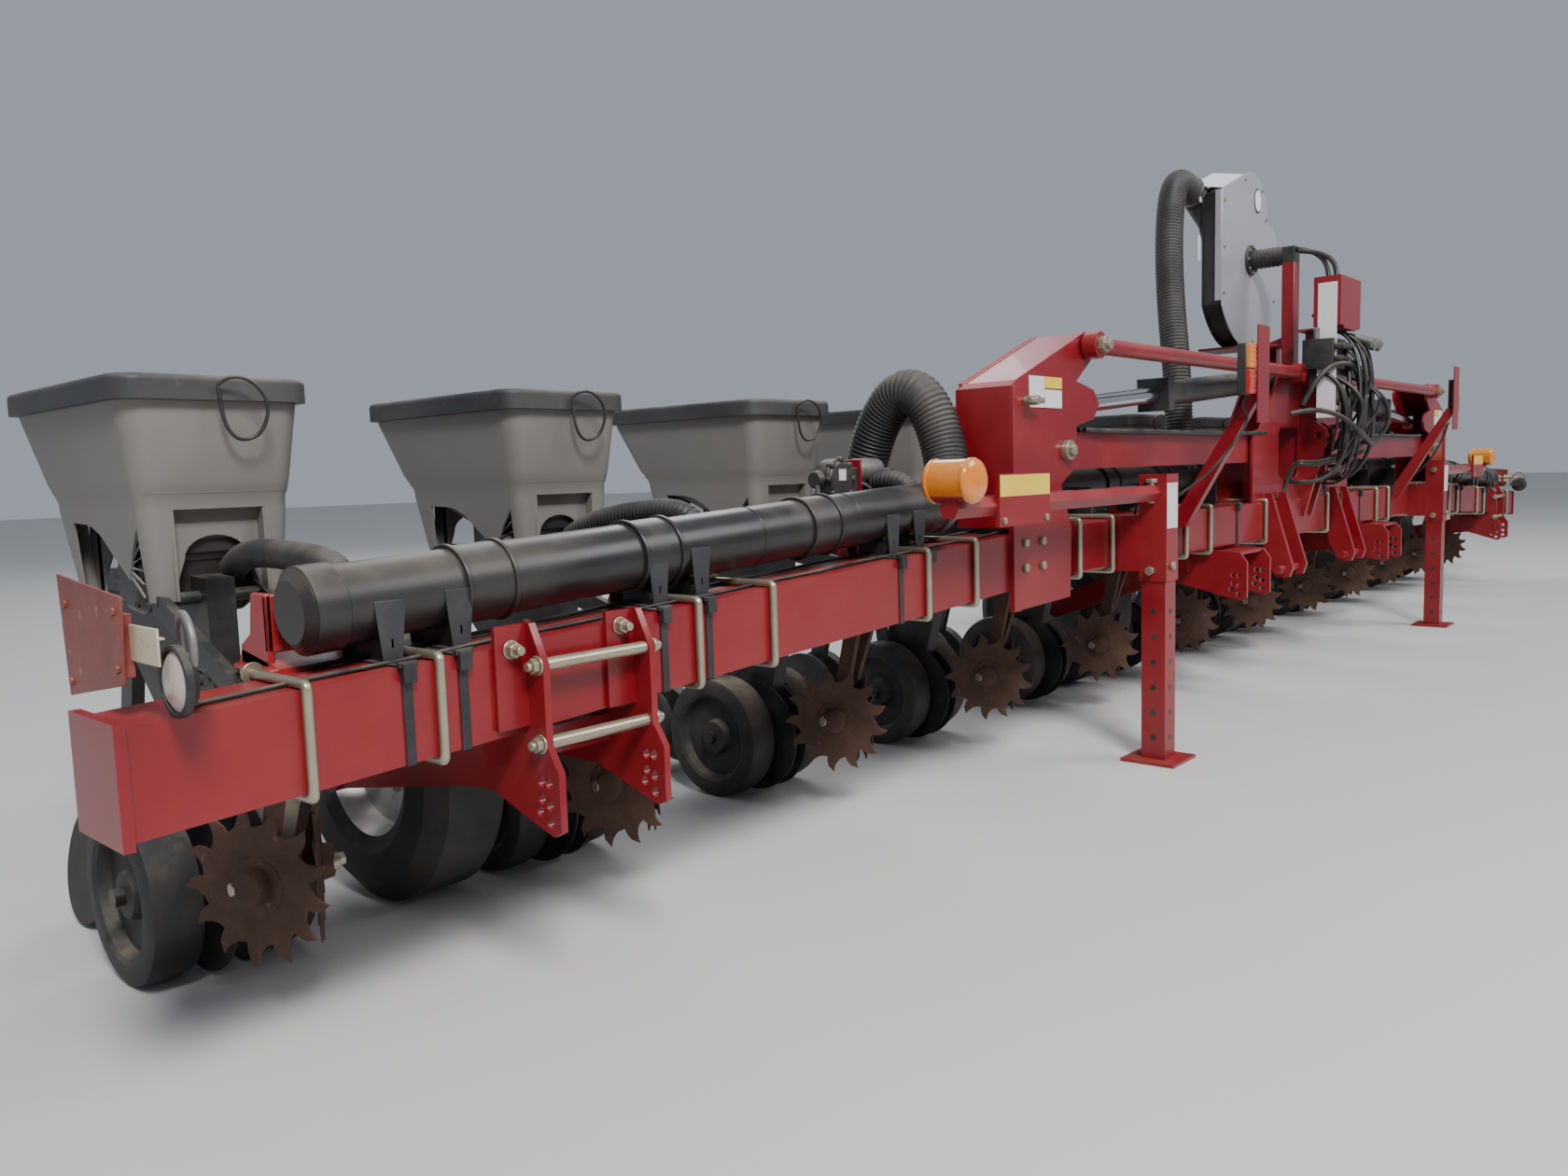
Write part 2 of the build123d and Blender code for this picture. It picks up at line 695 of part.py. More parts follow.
# Row units
for section, rows in SECTIONS.items():
    with BuildPart() as frames:
        for row in rows:
            x = row_x(row)
            low = -drop(x)
            # head casting on the toolbar's rear face
            with BuildSketch(across(x - 95)):
                with BuildLine():
                    Polyline(
                        (behind(BAR), BAR_BOTTOM + low - 10),
                        (behind(BAR), BAR_TOP + low + 5),
                        (behind(UNIT_ARM_FRONT), BAR_TOP + low + 30),
                        (behind(UNIT_ARM_FRONT + 30), BAR_TOP + low - 20),
                        (behind(UNIT_ARM_FRONT + 30), BAR_BOTTOM + low - 10),
                        close=True,
                    )
                make_face()
            extrude(amount=190)
            # four parallel arms
            for rise, rear in ((120, 860), (10, 690)):
                for side in (-1, 1):
                    front = (behind(UNIT_ARM_FRONT), BAR_BOTTOM + low + rise)
                    back = (behind(UNIT_ARM_REAR + 40), rear)
                    with BuildSketch(across(x + side * (95 + 12) - 10)):
                        with BuildLine():
                            Polyline(
                                (front[0] - 20, front[1] + 25),
                                (back[0] + 20, back[1] + 25),
                                (back[0] + 20, back[1] - 25),
                                (front[0] - 20, front[1] - 25),
                                close=True,
                            )
                        make_face()
                    extrude(amount=20)
            # shank
            with BuildSketch(across(x - 30)):
                with BuildLine():
                    Polyline(
                        (behind(UNIT_ARM_REAR), 900),
                        (behind(UNIT_ARM_REAR + 80), 905),
                        (behind(1225), 905),
                        (behind(1240), 840),
                        (behind(1250), 790),
                        (behind(1100), 700),
                        (behind(900), 520),
                        (behind(880), 180),
                        (behind(760), 180),
                        (behind(700), 400),
                        (behind(UNIT_ARM_REAR), 640),
                        close=True,
                    )
                make_face()
            extrude(amount=60)
            # cross pins
            with BuildSketch(across(x - 118)):
                with Locations(
                    (behind(UNIT_ARM_REAR + 40), 860),
                    (behind(UNIT_ARM_REAR + 40), 690),
                    (behind(UNIT_ARM_FRONT), BAR_BOTTOM + low + 120),
                    (behind(UNIT_ARM_FRONT), BAR_BOTTOM + low + 10),
                ):
                    Circle(14)
            extrude(amount=236)
        for row in rows:
            x = row_x(row)
            for side in (-1, 1):
                # opener disc
                disc = Plane(
                    origin=(x + side * OPENER_X, behind(OPENER_Y), OPENER_R + 6),
                    z_dir=(side, -OPENER_TOE, 0),
                )
                with BuildSketch(disc):
                    Circle(OPENER_R)
                extrude(amount=OPENER_THICK)
                with BuildSketch(disc):
                    Circle(45)
                extrude(amount=-12)
                # gauge wheel arm with its spindle
                arm_x = 54 if side > 0 else -66
                with BuildSketch(across(x + arm_x)):
                    with BuildLine():
                        Polyline(
                            (behind(905), 560),
                            (behind(955), 560),
                            (behind(GAUGE_Y + 32), GAUGE_R - 15),
                            (behind(GAUGE_Y - 32), GAUGE_R - 15),
                            (behind(GAUGE_Y - 30), GAUGE_R + 30),
                            close=True,
                        )
                    make_face()
                extrude(amount=12)
                with BuildSketch(across(x + side * 60)):
                    with Locations((behind(GAUGE_Y), GAUGE_R)):
                        Circle(GAUGE_SPINDLE)
                extrude(amount=side * (GAUGE_X + GAUGE_W / 2 - 60 + 8))
            with BuildSketch(across(x - 66)):
                with Locations((behind(930), 545)):
                    Circle(22)
            extrude(amount=132)
            # press wheel arm
            with BuildSketch(across(x - PRESS_ARM)):
                with BuildLine():
                    Polyline(
                        (behind(1130), 760),
                        (behind(1200), 760),
                        (behind(PRESS_Y + 35), PRESS_R + 20),
                        (behind(PRESS_Y + 20), PRESS_R - 25),
                        (behind(PRESS_Y - 30), PRESS_R - 10),
                        close=True,
                    )
                make_face()
            extrude(amount=2 * PRESS_ARM)
    save(frames.part, f"{section}_row_units")

    with BuildPart() as gauge_wheels:
        for row in rows:
            x = row_x(row)
            for side in (-1, 1):
                with BuildSketch(across(x + side * GAUGE_X - GAUGE_W / 2)):
                    with Locations((behind(GAUGE_Y), GAUGE_R)):
                        Circle(GAUGE_R)
                        Circle(GAUGE_SPINDLE + GAUGE_FIT, mode=Mode.SUBTRACT)
                extrude(amount=GAUGE_W)
    save(gauge_wheels.part, f"{section}_gauge_wheels")

    with BuildPart() as press_wheels:
        for row in rows:
            x = row_x(row)
            for side in (-1, 1):
                hub = Plane(
                    origin=(x + side * 60, behind(PRESS_Y), PRESS_R + 2),
                    z_dir=(side, 0, PRESS_LEAN),
                )
                with BuildSketch(hub):
                    Circle(PRESS_R)
                extrude(amount=38)
                with BuildSketch(hub):
                    Circle(14)
                extrude(amount=-60)
            with BuildSketch(across(x - PRESS_ARM)):
                with Locations((behind(PRESS_Y), PRESS_R)):
                    Rectangle(200, 200)
            extrude(amount=2 * PRESS_ARM, mode=Mode.SUBTRACT)
    save(press_wheels.part, f"{section}_press_wheels")

    with BuildPart() as cleaners:
        for row in rows:
            x = row_x(row)
            for side in (-1, 1):
                turn = radians(CLEANER_TOE)
                hub = Plane(
                    origin=(x + side * CLEANER_X, behind(CLEANER_Y + side * CLEANER_STAGGER), CLEANER_Z),
                    x_dir=(0, 0, 1),
                    z_dir=(side * cos(turn), -sin(turn), 0),
                )
                tooth = 360 / CLEANER_TEETH
                with BuildSketch(hub):
                    with BuildLine():
                        points = []
                        for n in range(CLEANER_TEETH):
                            for radius, step in TOOTH:
                                a = radians(tooth * (n + step))
                                points.append((radius * CLEANER_R * cos(a), radius * CLEANER_R * sin(a)))
                        Polyline(*points, close=True)
                    make_face()
                extrude(amount=CLEANER_THICK)
                with BuildSketch(hub):
                    Circle(38)
                extrude(amount=30)
                # carrier arm from the head casting
                with BuildSketch(hub.offset(-2)):
                    Circle(34)
                extrude(amount=-28)
                with BuildSketch(across(x + side * 42 - 10)):
                    with BuildLine():
                        Polyline(
                            (behind(300), BAR_BOTTOM - drop(x) - 10),
                            (behind(355), BAR_BOTTOM - drop(x) - 10),
                            (behind(CLEANER_Y + side * CLEANER_STAGGER + 40), CLEANER_Z),
                            (behind(CLEANER_Y + side * CLEANER_STAGGER), CLEANER_Z - 30),
                            close=True,
                        )
                    make_face()
                extrude(amount=20)
    save(cleaners.part, f"{section}_row_cleaners")

    with BuildPart() as hoppers:
        for row in rows:
            x = row_x(row) + 15
            with BuildSketch(Plane.XY.offset(HOPPER_SHELF)):
                with Locations((x, behind(HOPPER_FRONT + HOPPER_DEPTH / 2))):
                    RectangleRounded(HOPPER_W - 50, HOPPER_DEPTH - 120, 50)
            with BuildSketch(Plane.XY.offset(HOPPER_RIM)):
                with Locations((x, behind(HOPPER_FRONT + HOPPER_DEPTH / 2))):
                    RectangleRounded(HOPPER_W, HOPPER_DEPTH, 50)
            loft()
            with BuildSketch(Plane.XY.offset(HOPPER_SHELF)):
                with Locations((x, behind(HOPPER_FRONT + HOPPER_DEPTH / 2))):
                    Rectangle(HOPPER_W - 90, HOPPER_DEPTH - 200)
            extrude(amount=-(HOPPER_SHELF - 905))
            # two ears behind the rim and the lid's hinge pin
            hinge_y = HOPPER_FRONT + HOPPER_DEPTH + LID_HINGE_Y
            hinge_z = HOPPER_RIM + LID_HINGE_Z
            for side in (-1, 1):
                with BuildSketch(across(x + side * (HINGE_HALF + 5) - 4)):
                    with BuildLine():
                        Polyline(
                            (behind(hinge_y - 7), hinge_z + 6),
                            (behind(hinge_y + 9), hinge_z + 6),
                            (behind(hinge_y + 9), hinge_z - 50),
                            (behind(hinge_y - LID_HINGE_Y - 30), hinge_z - 90),
                            (behind(hinge_y - LID_HINGE_Y - 30), hinge_z - 30),
                            (behind(hinge_y - 7), hinge_z - 30),
                            close=True,
                        )
                    make_face()
                extrude(amount=8)
            with BuildSketch(across(x - HINGE_HALF - 8)):
                with Locations((behind(hinge_y), hinge_z)):
                    Circle(HINGE_PIN / 2)
            extrude(amount=2 * HINGE_HALF + 16)
    save(hoppers.part, f"{section}_hoppers")

for row in range(1, ROWS + 1):
    x = row_x(row) + 15
    with BuildPart() as lid:
        with BuildSketch(Plane.XY.offset(HOPPER_RIM + LID_GAP)):
            with Locations((x, behind(HOPPER_FRONT + HOPPER_DEPTH / 2))):
                RectangleRounded(HOPPER_W + 2 * LID_OVER, HOPPER_DEPTH + 2 * LID_OVER, 60)
        extrude(amount=LID_H)
        fillet(lid.faces().sort_by(Axis.Z)[-1].edges(), 14)
        # knuckle of the hinge with its web to the lid's rear edge
        hinge_y = HOPPER_FRONT + HOPPER_DEPTH + LID_HINGE_Y
        hinge_z = HOPPER_RIM + LID_HINGE_Z
        with BuildSketch(across(x - HINGE_HALF)):
            with Locations((behind(hinge_y), hinge_z)):
                Circle(HINGE_R)
            with Locations((behind(hinge_y - 15), hinge_z + 4)):
                Rectangle(30, 14)
        extrude(amount=2 * HINGE_HALF)
        with BuildSketch(across(x - HINGE_HALF)):
            with Locations((behind(hinge_y), hinge_z)):
                Circle(HINGE_PIN / 2 + 0.3)
        extrude(amount=2 * HINGE_HALF, mode=Mode.SUBTRACT)
    save(lid.part, f"row_{row:02d}_hopper_lid")
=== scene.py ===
import math
import random

import bmesh
import bpy
from mathutils import Matrix, Vector


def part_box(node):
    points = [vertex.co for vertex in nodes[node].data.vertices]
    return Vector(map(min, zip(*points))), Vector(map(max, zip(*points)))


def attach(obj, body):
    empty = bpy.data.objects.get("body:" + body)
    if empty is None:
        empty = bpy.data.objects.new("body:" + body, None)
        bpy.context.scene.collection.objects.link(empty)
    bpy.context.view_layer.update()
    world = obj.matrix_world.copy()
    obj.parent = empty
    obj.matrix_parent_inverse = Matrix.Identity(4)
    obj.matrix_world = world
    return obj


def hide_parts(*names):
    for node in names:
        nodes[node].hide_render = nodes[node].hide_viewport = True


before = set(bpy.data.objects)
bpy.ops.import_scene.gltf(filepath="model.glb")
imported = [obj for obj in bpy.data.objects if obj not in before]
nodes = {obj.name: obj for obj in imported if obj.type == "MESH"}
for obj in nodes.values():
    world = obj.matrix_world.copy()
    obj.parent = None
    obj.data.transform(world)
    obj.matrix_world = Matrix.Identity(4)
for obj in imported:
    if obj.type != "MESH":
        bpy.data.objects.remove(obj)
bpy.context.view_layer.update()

# The studio: a pale floor under a soft pale sky, lit by large soft lamps. The camera stands
# in front of the near wing's end at chest height, where the photograph was taken.
EYE = (-6.039, -2.4405, 1.086)
YAW, PITCH, ROLL = 48.21, 5.74, 1.74
LENS = 26.26
camera = bpy.data.objects.new("camera", bpy.data.cameras.new("camera"))
camera.data.lens = LENS
camera.data.sensor_width = 36.0
camera.data.clip_end = 200.0
bpy.context.scene.collection.objects.link(camera)
yaw, pitch, roll = (math.radians(a) for a in (YAW, PITCH, ROLL))
ahead = Vector((math.sin(yaw) * math.cos(pitch), math.cos(yaw) * math.cos(pitch), -math.sin(pitch)))
level = Vector((math.cos(yaw), -math.sin(yaw), 0))
above = level.cross(ahead)
right = level * math.cos(roll) - above * math.sin(roll)
upward = above * math.cos(roll) + level * math.sin(roll)
camera.matrix_world = Matrix.Translation(EYE) @ Matrix((right, upward, -ahead)).transposed().to_4x4()
bpy.context.scene.camera = camera

FLOOR = 60.0
floor_mesh = bpy.data.meshes.new("floor")
corners = [(-FLOOR, -FLOOR, 0), (FLOOR, -FLOOR, 0), (FLOOR, FLOOR, 0), (-FLOOR, FLOOR, 0)]
floor_mesh.from_pydata(corners, [], [(0, 1, 2, 3)])
floor = bpy.data.objects.new("floor", floor_mesh)
bpy.context.scene.collection.objects.link(floor)
pale = bpy.data.materials.new("pale floor")
pale.use_nodes = True
pale.node_tree.nodes["Principled BSDF"].inputs["Base Color"].default_value = (0.60, 0.59, 0.57, 1)
pale.node_tree.nodes["Principled BSDF"].inputs["Roughness"].default_value = 0.9
floor_mesh.materials.append(pale)

sky = bpy.data.worlds.new("studio")
bpy.context.scene.world = sky
sky.use_nodes = True
sky.node_tree.nodes["Background"].inputs["Color"].default_value = (0.80, 0.88, 1.0, 1)
sky.node_tree.nodes["Background"].inputs["Strength"].default_value = 0.42

STUDIO_LAMPS = (
    # place, aim, width, power
    ((-8.0, -7.0, 8.5), (-1.5, 0.0, 0.6), 2.6, 1450.0),
    ((4.0, -9.0, 9.0), (0.5, 0.0, 0.8), 6.0, 800.0),
    ((5.0, 9.0, 9.0), (0.0, 0.0, 0.8), 7.0, 650.0),
)
for number, (place, aim, width, power) in enumerate(STUDIO_LAMPS, 1):
    lamp = bpy.data.objects.new(f"lamp_{number}", bpy.data.lights.new(f"lamp_{number}", "AREA"))
    lamp.data.size = width
    lamp.data.energy = power
    bpy.context.scene.collection.objects.link(lamp)
    lamp.location = place
    lamp.rotation_euler = (Vector(aim) - Vector(place)).to_track_quat("-Z", "Y").to_euler()

# Toolbar, towers, hitch, stands and arms: welded steel sprayed with one coat of dark red paint.
# It has faded to pink in patches, and its upper faces are painted pinker as painted sunlight. It is
# chipped to brown rust, and carries field dust.
weather = bpy.data.node_groups.new("field_weather", "ShaderNodeTree")
for label, kind, start in (
    ("Patch Size", "NodeSocketFloat", 3.0),
    ("Dust", "NodeSocketFloat", 0.5),
    ("Chips", "NodeSocketFloat", 0.3),
    ("Grain Size", "NodeSocketFloat", 300.0),
):
    socket = weather.interface.new_socket(label, in_out="INPUT", socket_type=kind)
    socket.default_value = start
for label in ("Patches", "Dust", "Chips", "Grain", "Sunlit"):
    weather.interface.new_socket(label, in_out="OUTPUT", socket_type="NodeSocketFloat")


def wire(tree, kind, settings=(), links=()):
    """Adds a shader node, sets its named values and sockets, and joins its inputs."""
    node = tree.nodes.new(kind)
    for name, value in settings:
        if isinstance(name, str) and hasattr(node, name):
            setattr(node, name, value)
        else:
            node.inputs[name].default_value = value
    for name, source in links:
        tree.links.new(source, node.inputs[name])
    return node


group_in = weather.nodes.new("NodeGroupInput")
group_out = weather.nodes.new("NodeGroupOutput")
where = weather.nodes.new("ShaderNodeTexCoord")
patches = wire(weather, "ShaderNodeTexNoise", (("Detail", 5.0), ("Roughness", 0.62)),
               (("Vector", where.outputs["Object"]), ("Scale", group_in.outputs["Patch Size"])))
speckle = wire(weather, "ShaderNodeTexNoise", (("Scale", 38.0), ("Detail", 6.0), ("Roughness", 0.7)),
               (("Vector", where.outputs["Object"]),))
grain = wire(weather, "ShaderNodeTexNoise", (("Detail", 2.0),),
             (("Vector", where.outputs["Object"]), ("Scale", group_in.outputs["Grain Size"])))
facing = wire(weather, "ShaderNodeSeparateXYZ", (), (("Vector", where.outputs["Normal"]),))
# How much a face points up. It sets where dust lies, and in each finish it also paints sunlight: upper faces
# turn lighter.
sunlit = wire(weather, "ShaderNodeMapRange", ((1, 0.25), (2, 0.95)), ((0, facing.outputs["Z"]),))
settled = wire(weather, "ShaderNodeMapRange", ((1, 0.42), (2, 0.68)), ((0, patches.outputs["Fac"]),))
lying = wire(weather, "ShaderNodeMath", (("operation", "MULTIPLY_ADD"), (1, 0.75), (2, 0.12)),
             ((0, sunlit.outputs[0]),))
film = wire(weather, "ShaderNodeMath", (("operation", "MULTIPLY"),),
            ((0, lying.outputs[0]), (1, settled.outputs[0])))
dusty = wire(weather, "ShaderNodeMath", (("operation", "MULTIPLY"), ("use_clamp", True)),
             ((0, film.outputs[0]), (1, group_in.outputs["Dust"])))
flaked = wire(weather, "ShaderNodeMapRange", ((1, 0.63), (2, 0.67)), ((0, speckle.outputs["Fac"]),))
chipped = wire(weather, "ShaderNodeMath", (("operation", "MULTIPLY"), ("use_clamp", True)),
               ((0, flaked.outputs[0]), (1, group_in.outputs["Chips"])))
for label, source in (
    ("Patches", patches.outputs["Fac"]), ("Dust", dusty.outputs[0]), ("Chips", chipped.outputs[0]),
    ("Grain", grain.outputs["Fac"]), ("Sunlit", sunlit.outputs[0]),
):
    weather.links.new(source, group_out.inputs[label])

DUST_COLOUR = (0.42, 0.34, 0.25, 1)


def weathered(name, fresh, faded, bare, rough, metal=0.0, coat=0.0, patch=3.0, dust=0.5, chips=0.3,
              grain_size=300.0, relief=0.15, relief_depth=0.001):
    """A finish that fades in patches, is painted lighter on its upper sides as painted sunlight, chips to
    what lies under it and gathers dust on its upper sides.
    """
    look = bpy.data.materials.new(name)
    look.use_nodes = True
    tree = look.node_tree
    shader = tree.nodes["Principled BSDF"]
    age = tree.nodes.new("ShaderNodeGroup")
    age.node_tree = weather
    for label, value in (("Patch Size", patch), ("Dust", dust), ("Chips", chips), ("Grain Size", grain_size)):
        age.inputs[label].default_value = value
    # Painted sunlight: upper faces take the faded colour, on top of the real fading in random patches.
    painted_sun_and_fade = wire(tree, "ShaderNodeMath", (("operation", "MULTIPLY_ADD"), (1, 0.55), ("use_clamp", True)),
                  ((0, age.outputs["Sunlit"]), (2, age.outputs["Patches"])))
    spread = wire(tree, "ShaderNodeMapRange", ((1, 0.3), (2, 1.1)), ((0, painted_sun_and_fade.outputs[0]),))
    body = wire(tree, "ShaderNodeMix", (("data_type", "RGBA"), (6, (*fresh, 1)), (7, (*faded, 1))),
                ((0, spread.outputs[0]),))
    struck = wire(tree, "ShaderNodeMix", (("data_type", "RGBA"), (7, (*bare, 1))),
                  ((0, age.outputs["Chips"]), (6, body.outputs[2])))
    dusted = wire(tree, "ShaderNodeMix", (("data_type", "RGBA"), (7, DUST_COLOUR)),
                  ((0, age.outputs["Dust"]), (6, struck.outputs[2])))
    tree.links.new(dusted.outputs[2], shader.inputs["Base Color"])
    dull = wire(tree, "ShaderNodeMapRange", ((3, rough - 0.07), (4, rough + 0.16)),
                ((0, age.outputs["Patches"]),))
    matt = wire(tree, "ShaderNodeMath", (("operation", "MULTIPLY_ADD"), (1, 0.45), ("use_clamp", True)),
                ((0, age.outputs["Dust"]), (2, dull.outputs[0])))
    tree.links.new(matt.outputs[0], shader.inputs["Roughness"])
    shader.inputs["Metallic"].default_value = metal
    shader.inputs["Coat Weight"].default_value = coat
    bump = wire(tree, "ShaderNodeBump", (("Strength", relief), ("Distance", relief_depth)),
                (("Height", age.outputs["Grain"]),))
    tree.links.new(bump.outputs["Normal"], shader.inputs["Normal"])
    return look


red_paint = weathered("faded red paint", (0.175, 0.002, 0.007), (0.31, 0.012, 0.018), (0.10, 0.03, 0.018),
                      0.30, coat=0.15, patch=2.2, dust=0.20, chips=0.25, grain_size=180, relief=0.05)


def dress(names, *looks):
    """Gives CAD nodes their finish, in slots that later sections choose between by face."""
    for name in names:
        mesh = nodes[name].data
        mesh.materials.clear()
        for look in looks:
            mesh.materials.append(look)


def soften(names, width):
    """Rounds the sharp edges of CAD nodes a little, as paint and folding do."""
    for name in names:
        edge = nodes[name].modifiers.new("soft edges", "BEVEL")
        edge.width = width
        edge.segments = 2
        edge.limit_method = "ANGLE"
        edge.angle_limit = math.radians(35)


SIDES = ("right", "left")
painted = ["centre_toolbar", "centre_tower", "hitch", "control_box", "stand_sleeves", "marker_arms"]
painted += [f"{side}_{piece}" for side in SIDES for piece in
            ("wing_frame", "lift_arm", "tie_link", "stand_leg")]
dress(painted, red_paint)
soften([n for n in painted if n not in ("marker_arms", "control_box")], 0.0025)

# Row unit heads are rough red castings, brighter than the bar. The arms, shanks and meter housings
# behind them are black painted steel and moulded black plastic, dusty on top.
BAR_FRONT = -571.5
SLOPE = math.tan(math.radians(3.04))
SLOPE_START = 2590


def at(x, back, up):
    """A place in millimetres: across, behind the bar's front face, above the ground."""
    return Vector((x / 1000, (back + BAR_FRONT) / 1000, up / 1000))


def droop(x):
    """How far the wing has sagged below the centre bar at this distance out."""
    return max(0.0, abs(x) - SLOPE_START) * SLOPE


def refinish(name, look_number, wanted):
    """Faces of a CAD node whose middle is wanted take another of the node's finishes."""
    for face in nodes[name].data.polygons:
        x, y, z = face.center * 1000
        if wanted(x, y - BAR_FRONT, z):
            face.material_index = look_number


red_cast = weathered("bright red casting", (0.30, 0.005, 0.010), (0.42, 0.025, 0.028), (0.12, 0.04, 0.02),
                     0.32, coat=0.25, patch=6.0, dust=0.3, chips=0.35, grain_size=420, relief=0.3)
black_paint = weathered("black painted steel", (0.013, 0.013, 0.015), (0.035, 0.034, 0.033),
                        (0.085, 0.035, 0.02), 0.38, patch=7.0, dust=0.5, chips=0.35, relief=0.1)
black_plastic = weathered("black moulded plastic", (0.010, 0.010, 0.011), (0.028, 0.027, 0.027),
                          (0.03, 0.03, 0.03), 0.30, patch=3.0, dust=0.34, chips=0.1, grain_size=500,
                          relief=0.06)
GROUP_BODIES = {"right": "right_wing", "centre": "centre_frame", "left": "left_wing"}
row_units = [f"{group}_row_units" for group in GROUP_BODIES]
HEAD_REAR, HEAD_EDGE = 372, 0.003
dress(row_units, red_cast, black_paint)
for name in row_units:
    refinish(name, 1, lambda x, back, up: back > HEAD_REAR)
soften(row_units, HEAD_EDGE)

# Hopper lids are moulded in charcoal polyethylene, paler where boots and seed bags have scuffed
# their edges.
charcoal_lid = weathered("charcoal moulded lid", (0.018, 0.019, 0.022), (0.055, 0.055, 0.058),
                         (0.16, 0.15, 0.14), 0.5, patch=2.5, dust=0.5, chips=0.2, grain_size=650,
                         relief=0.10)
lids = [f"row_{row:02d}_hopper_lid" for row in range(1, 13)]
LID_EDGE = 0.005
dress(lids, charcoal_lid)
soften(lids, LID_EDGE)

# Vacuum pipes along the bar: smooth black plastic drain pipe, a little glossy where it is clean and
# dusty on top.
pipes = [f"{side}_wing_pipe" for side in SIDES] + ["centre_pipes"]
PIPE_EDGE = 0.002
dress(pipes, black_plastic)
soften(pipes, PIPE_EDGE)

# Carrying wheels: black ribbed tyres on silver painted steel rims, both splashed with soil and
# chipped where stones have struck them.
tyre_rubber = weathered("dusty tyre rubber", (0.014, 0.014, 0.015), (0.035, 0.033, 0.031),
                        (0.06, 0.052, 0.045), 0.62, patch=5.0, dust=0.6, chips=0.5, grain_size=260,
                        relief=0.2)
silver_rim = weathered("silver wheel rim", (0.42, 0.42, 0.43), (0.55, 0.54, 0.53), (0.18, 0.09, 0.05),
                       0.36, metal=0.55, patch=5.0, dust=0.55, chips=0.35, relief=0.06)
RIM_EDGE = 198
wheels = ["right_wing_wheel", "right_centre_wheel", "left_centre_wheel", "left_wing_wheel"]
dress(wheels, tyre_rubber, silver_rim)
for name in wheels:
    low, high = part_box(name)
    hub_back, hub_up = ((low[1] + high[1]) * 500 - BAR_FRONT, (low[2] + high[2]) * 500)
    refinish(name, 1, lambda x, back, up: math.hypot(back - hub_back, up - hub_up) < RIM_EDGE)

# Closing wheels: pairs of black rubber tyres that lean together behind each opener and press the
# soil over the seed.
dress([f"{group}_press_wheels" for group in GROUP_BODIES], tyre_rubber, black_paint)

# Fold cylinders: black painted barrels with square glands, and a chrome plated rod that keeps a
# light film of oil.
chrome_rod = weathered("chrome plated rod", (0.55, 0.56, 0.58), (0.70, 0.71, 0.73), (0.35, 0.30, 0.25),
                       0.10, metal=1.0, patch=6.0, dust=0.15, chips=0.05, relief=0.01)
barrels = [f"{side}_cylinder_barrel" for side in SIDES]
BARREL_EDGE = 0.002
dress(barrels, black_paint)
dress([f"{side}_cylinder_rod" for side in SIDES], chrome_rod)
soften(barrels, BARREL_EDGE)

# Vacuum hoses: black ribbed suction hose, clamped on the fan's inlet cone and on the pipes'
# elbows. A spiral rib stands proud of thin rubber at an even pitch.
hose_rubber = weathered("ribbed hose rubber", (0.020, 0.019, 0.020), (0.050, 0.048, 0.048),
                        (0.06, 0.055, 0.05), 0.5, patch=4.0, dust=0.4, chips=0.15, grain_size=500,
                        relief=0.08)
RIB_PITCH, RIB_DEPTH = 0.015, 0.0055
RINGS_A_RIB, HOSE_SIDES = 4, 28


def ribbed_hose(name, route, radius, body, stands_for=None):
    """Sweeps a ribbed wall along a smooth line through the route, closed at both ends."""
    curve = bpy.data.curves.new(name + "_line", "CURVE")
    curve.dimensions = "3D"
    curve.resolution_u = 24
    spline = curve.splines.new("NURBS")
    spline.points.add(len(route) - 1)
    for point, place in zip(spline.points, route):
        point.co = (*at(*place), 1)
    spline.order_u = 4
    spline.use_endpoint_u = True
    guide = bpy.data.objects.new(name + "_line", curve)
    line = [v.co.copy() for v in bpy.data.meshes.new_from_object(guide).vertices]
    bpy.data.objects.remove(guide)
    run = [0.0]
    for a, b in zip(line, line[1:]):
        run.append(run[-1] + (b - a).length)
    rings = int(run[-1] / RIB_PITCH * RINGS_A_RIB)
    shape = bmesh.new()
    previous, side = None, None
    segment = 0
    for ring in range(rings + 1):
        far = run[-1] * ring / rings
        while segment < len(line) - 2 and run[segment + 1] < far:
            segment += 1
        share = (far - run[segment]) / (run[segment + 1] - run[segment])
        centre = line[segment].lerp(line[segment + 1], share)
        heading = (line[min(segment + 2, len(line) - 1)] - line[max(segment - 1, 0)]).normalized()
        if side is None:
            side = heading.orthogonal().normalized()
        side = (side - heading * side.dot(heading)).normalized()
        other = heading.cross(side)
        reach = radius / 1000 - RIB_DEPTH * (ring % RINGS_A_RIB in (0, 3))
        loop = [shape.verts.new(centre + reach * (math.cos(a) * side + math.sin(a) * other))
                for a in (math.tau * k / HOSE_SIDES for k in range(HOSE_SIDES))]
        if previous:
            for k in range(HOSE_SIDES):
                following = (k + 1) % HOSE_SIDES
                shape.faces.new((previous[k], previous[following], loop[following], loop[k]))
        else:
            shape.faces.new(reversed(loop))
        previous = loop
    shape.faces.new(previous)
    mesh = bpy.data.meshes.new(name)
    bmesh.ops.recalc_face_normals(shape, faces=shape.faces)
    shape.to_mesh(mesh)
    shape.free()
    mesh.shade_smooth()
    mesh.materials.append(hose_rubber)
    hose = bpy.data.objects.new(name, mesh)
    bpy.context.scene.collection.objects.link(hose)
    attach(hose, body)
    if stands_for:
        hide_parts(stands_for)
    return hose


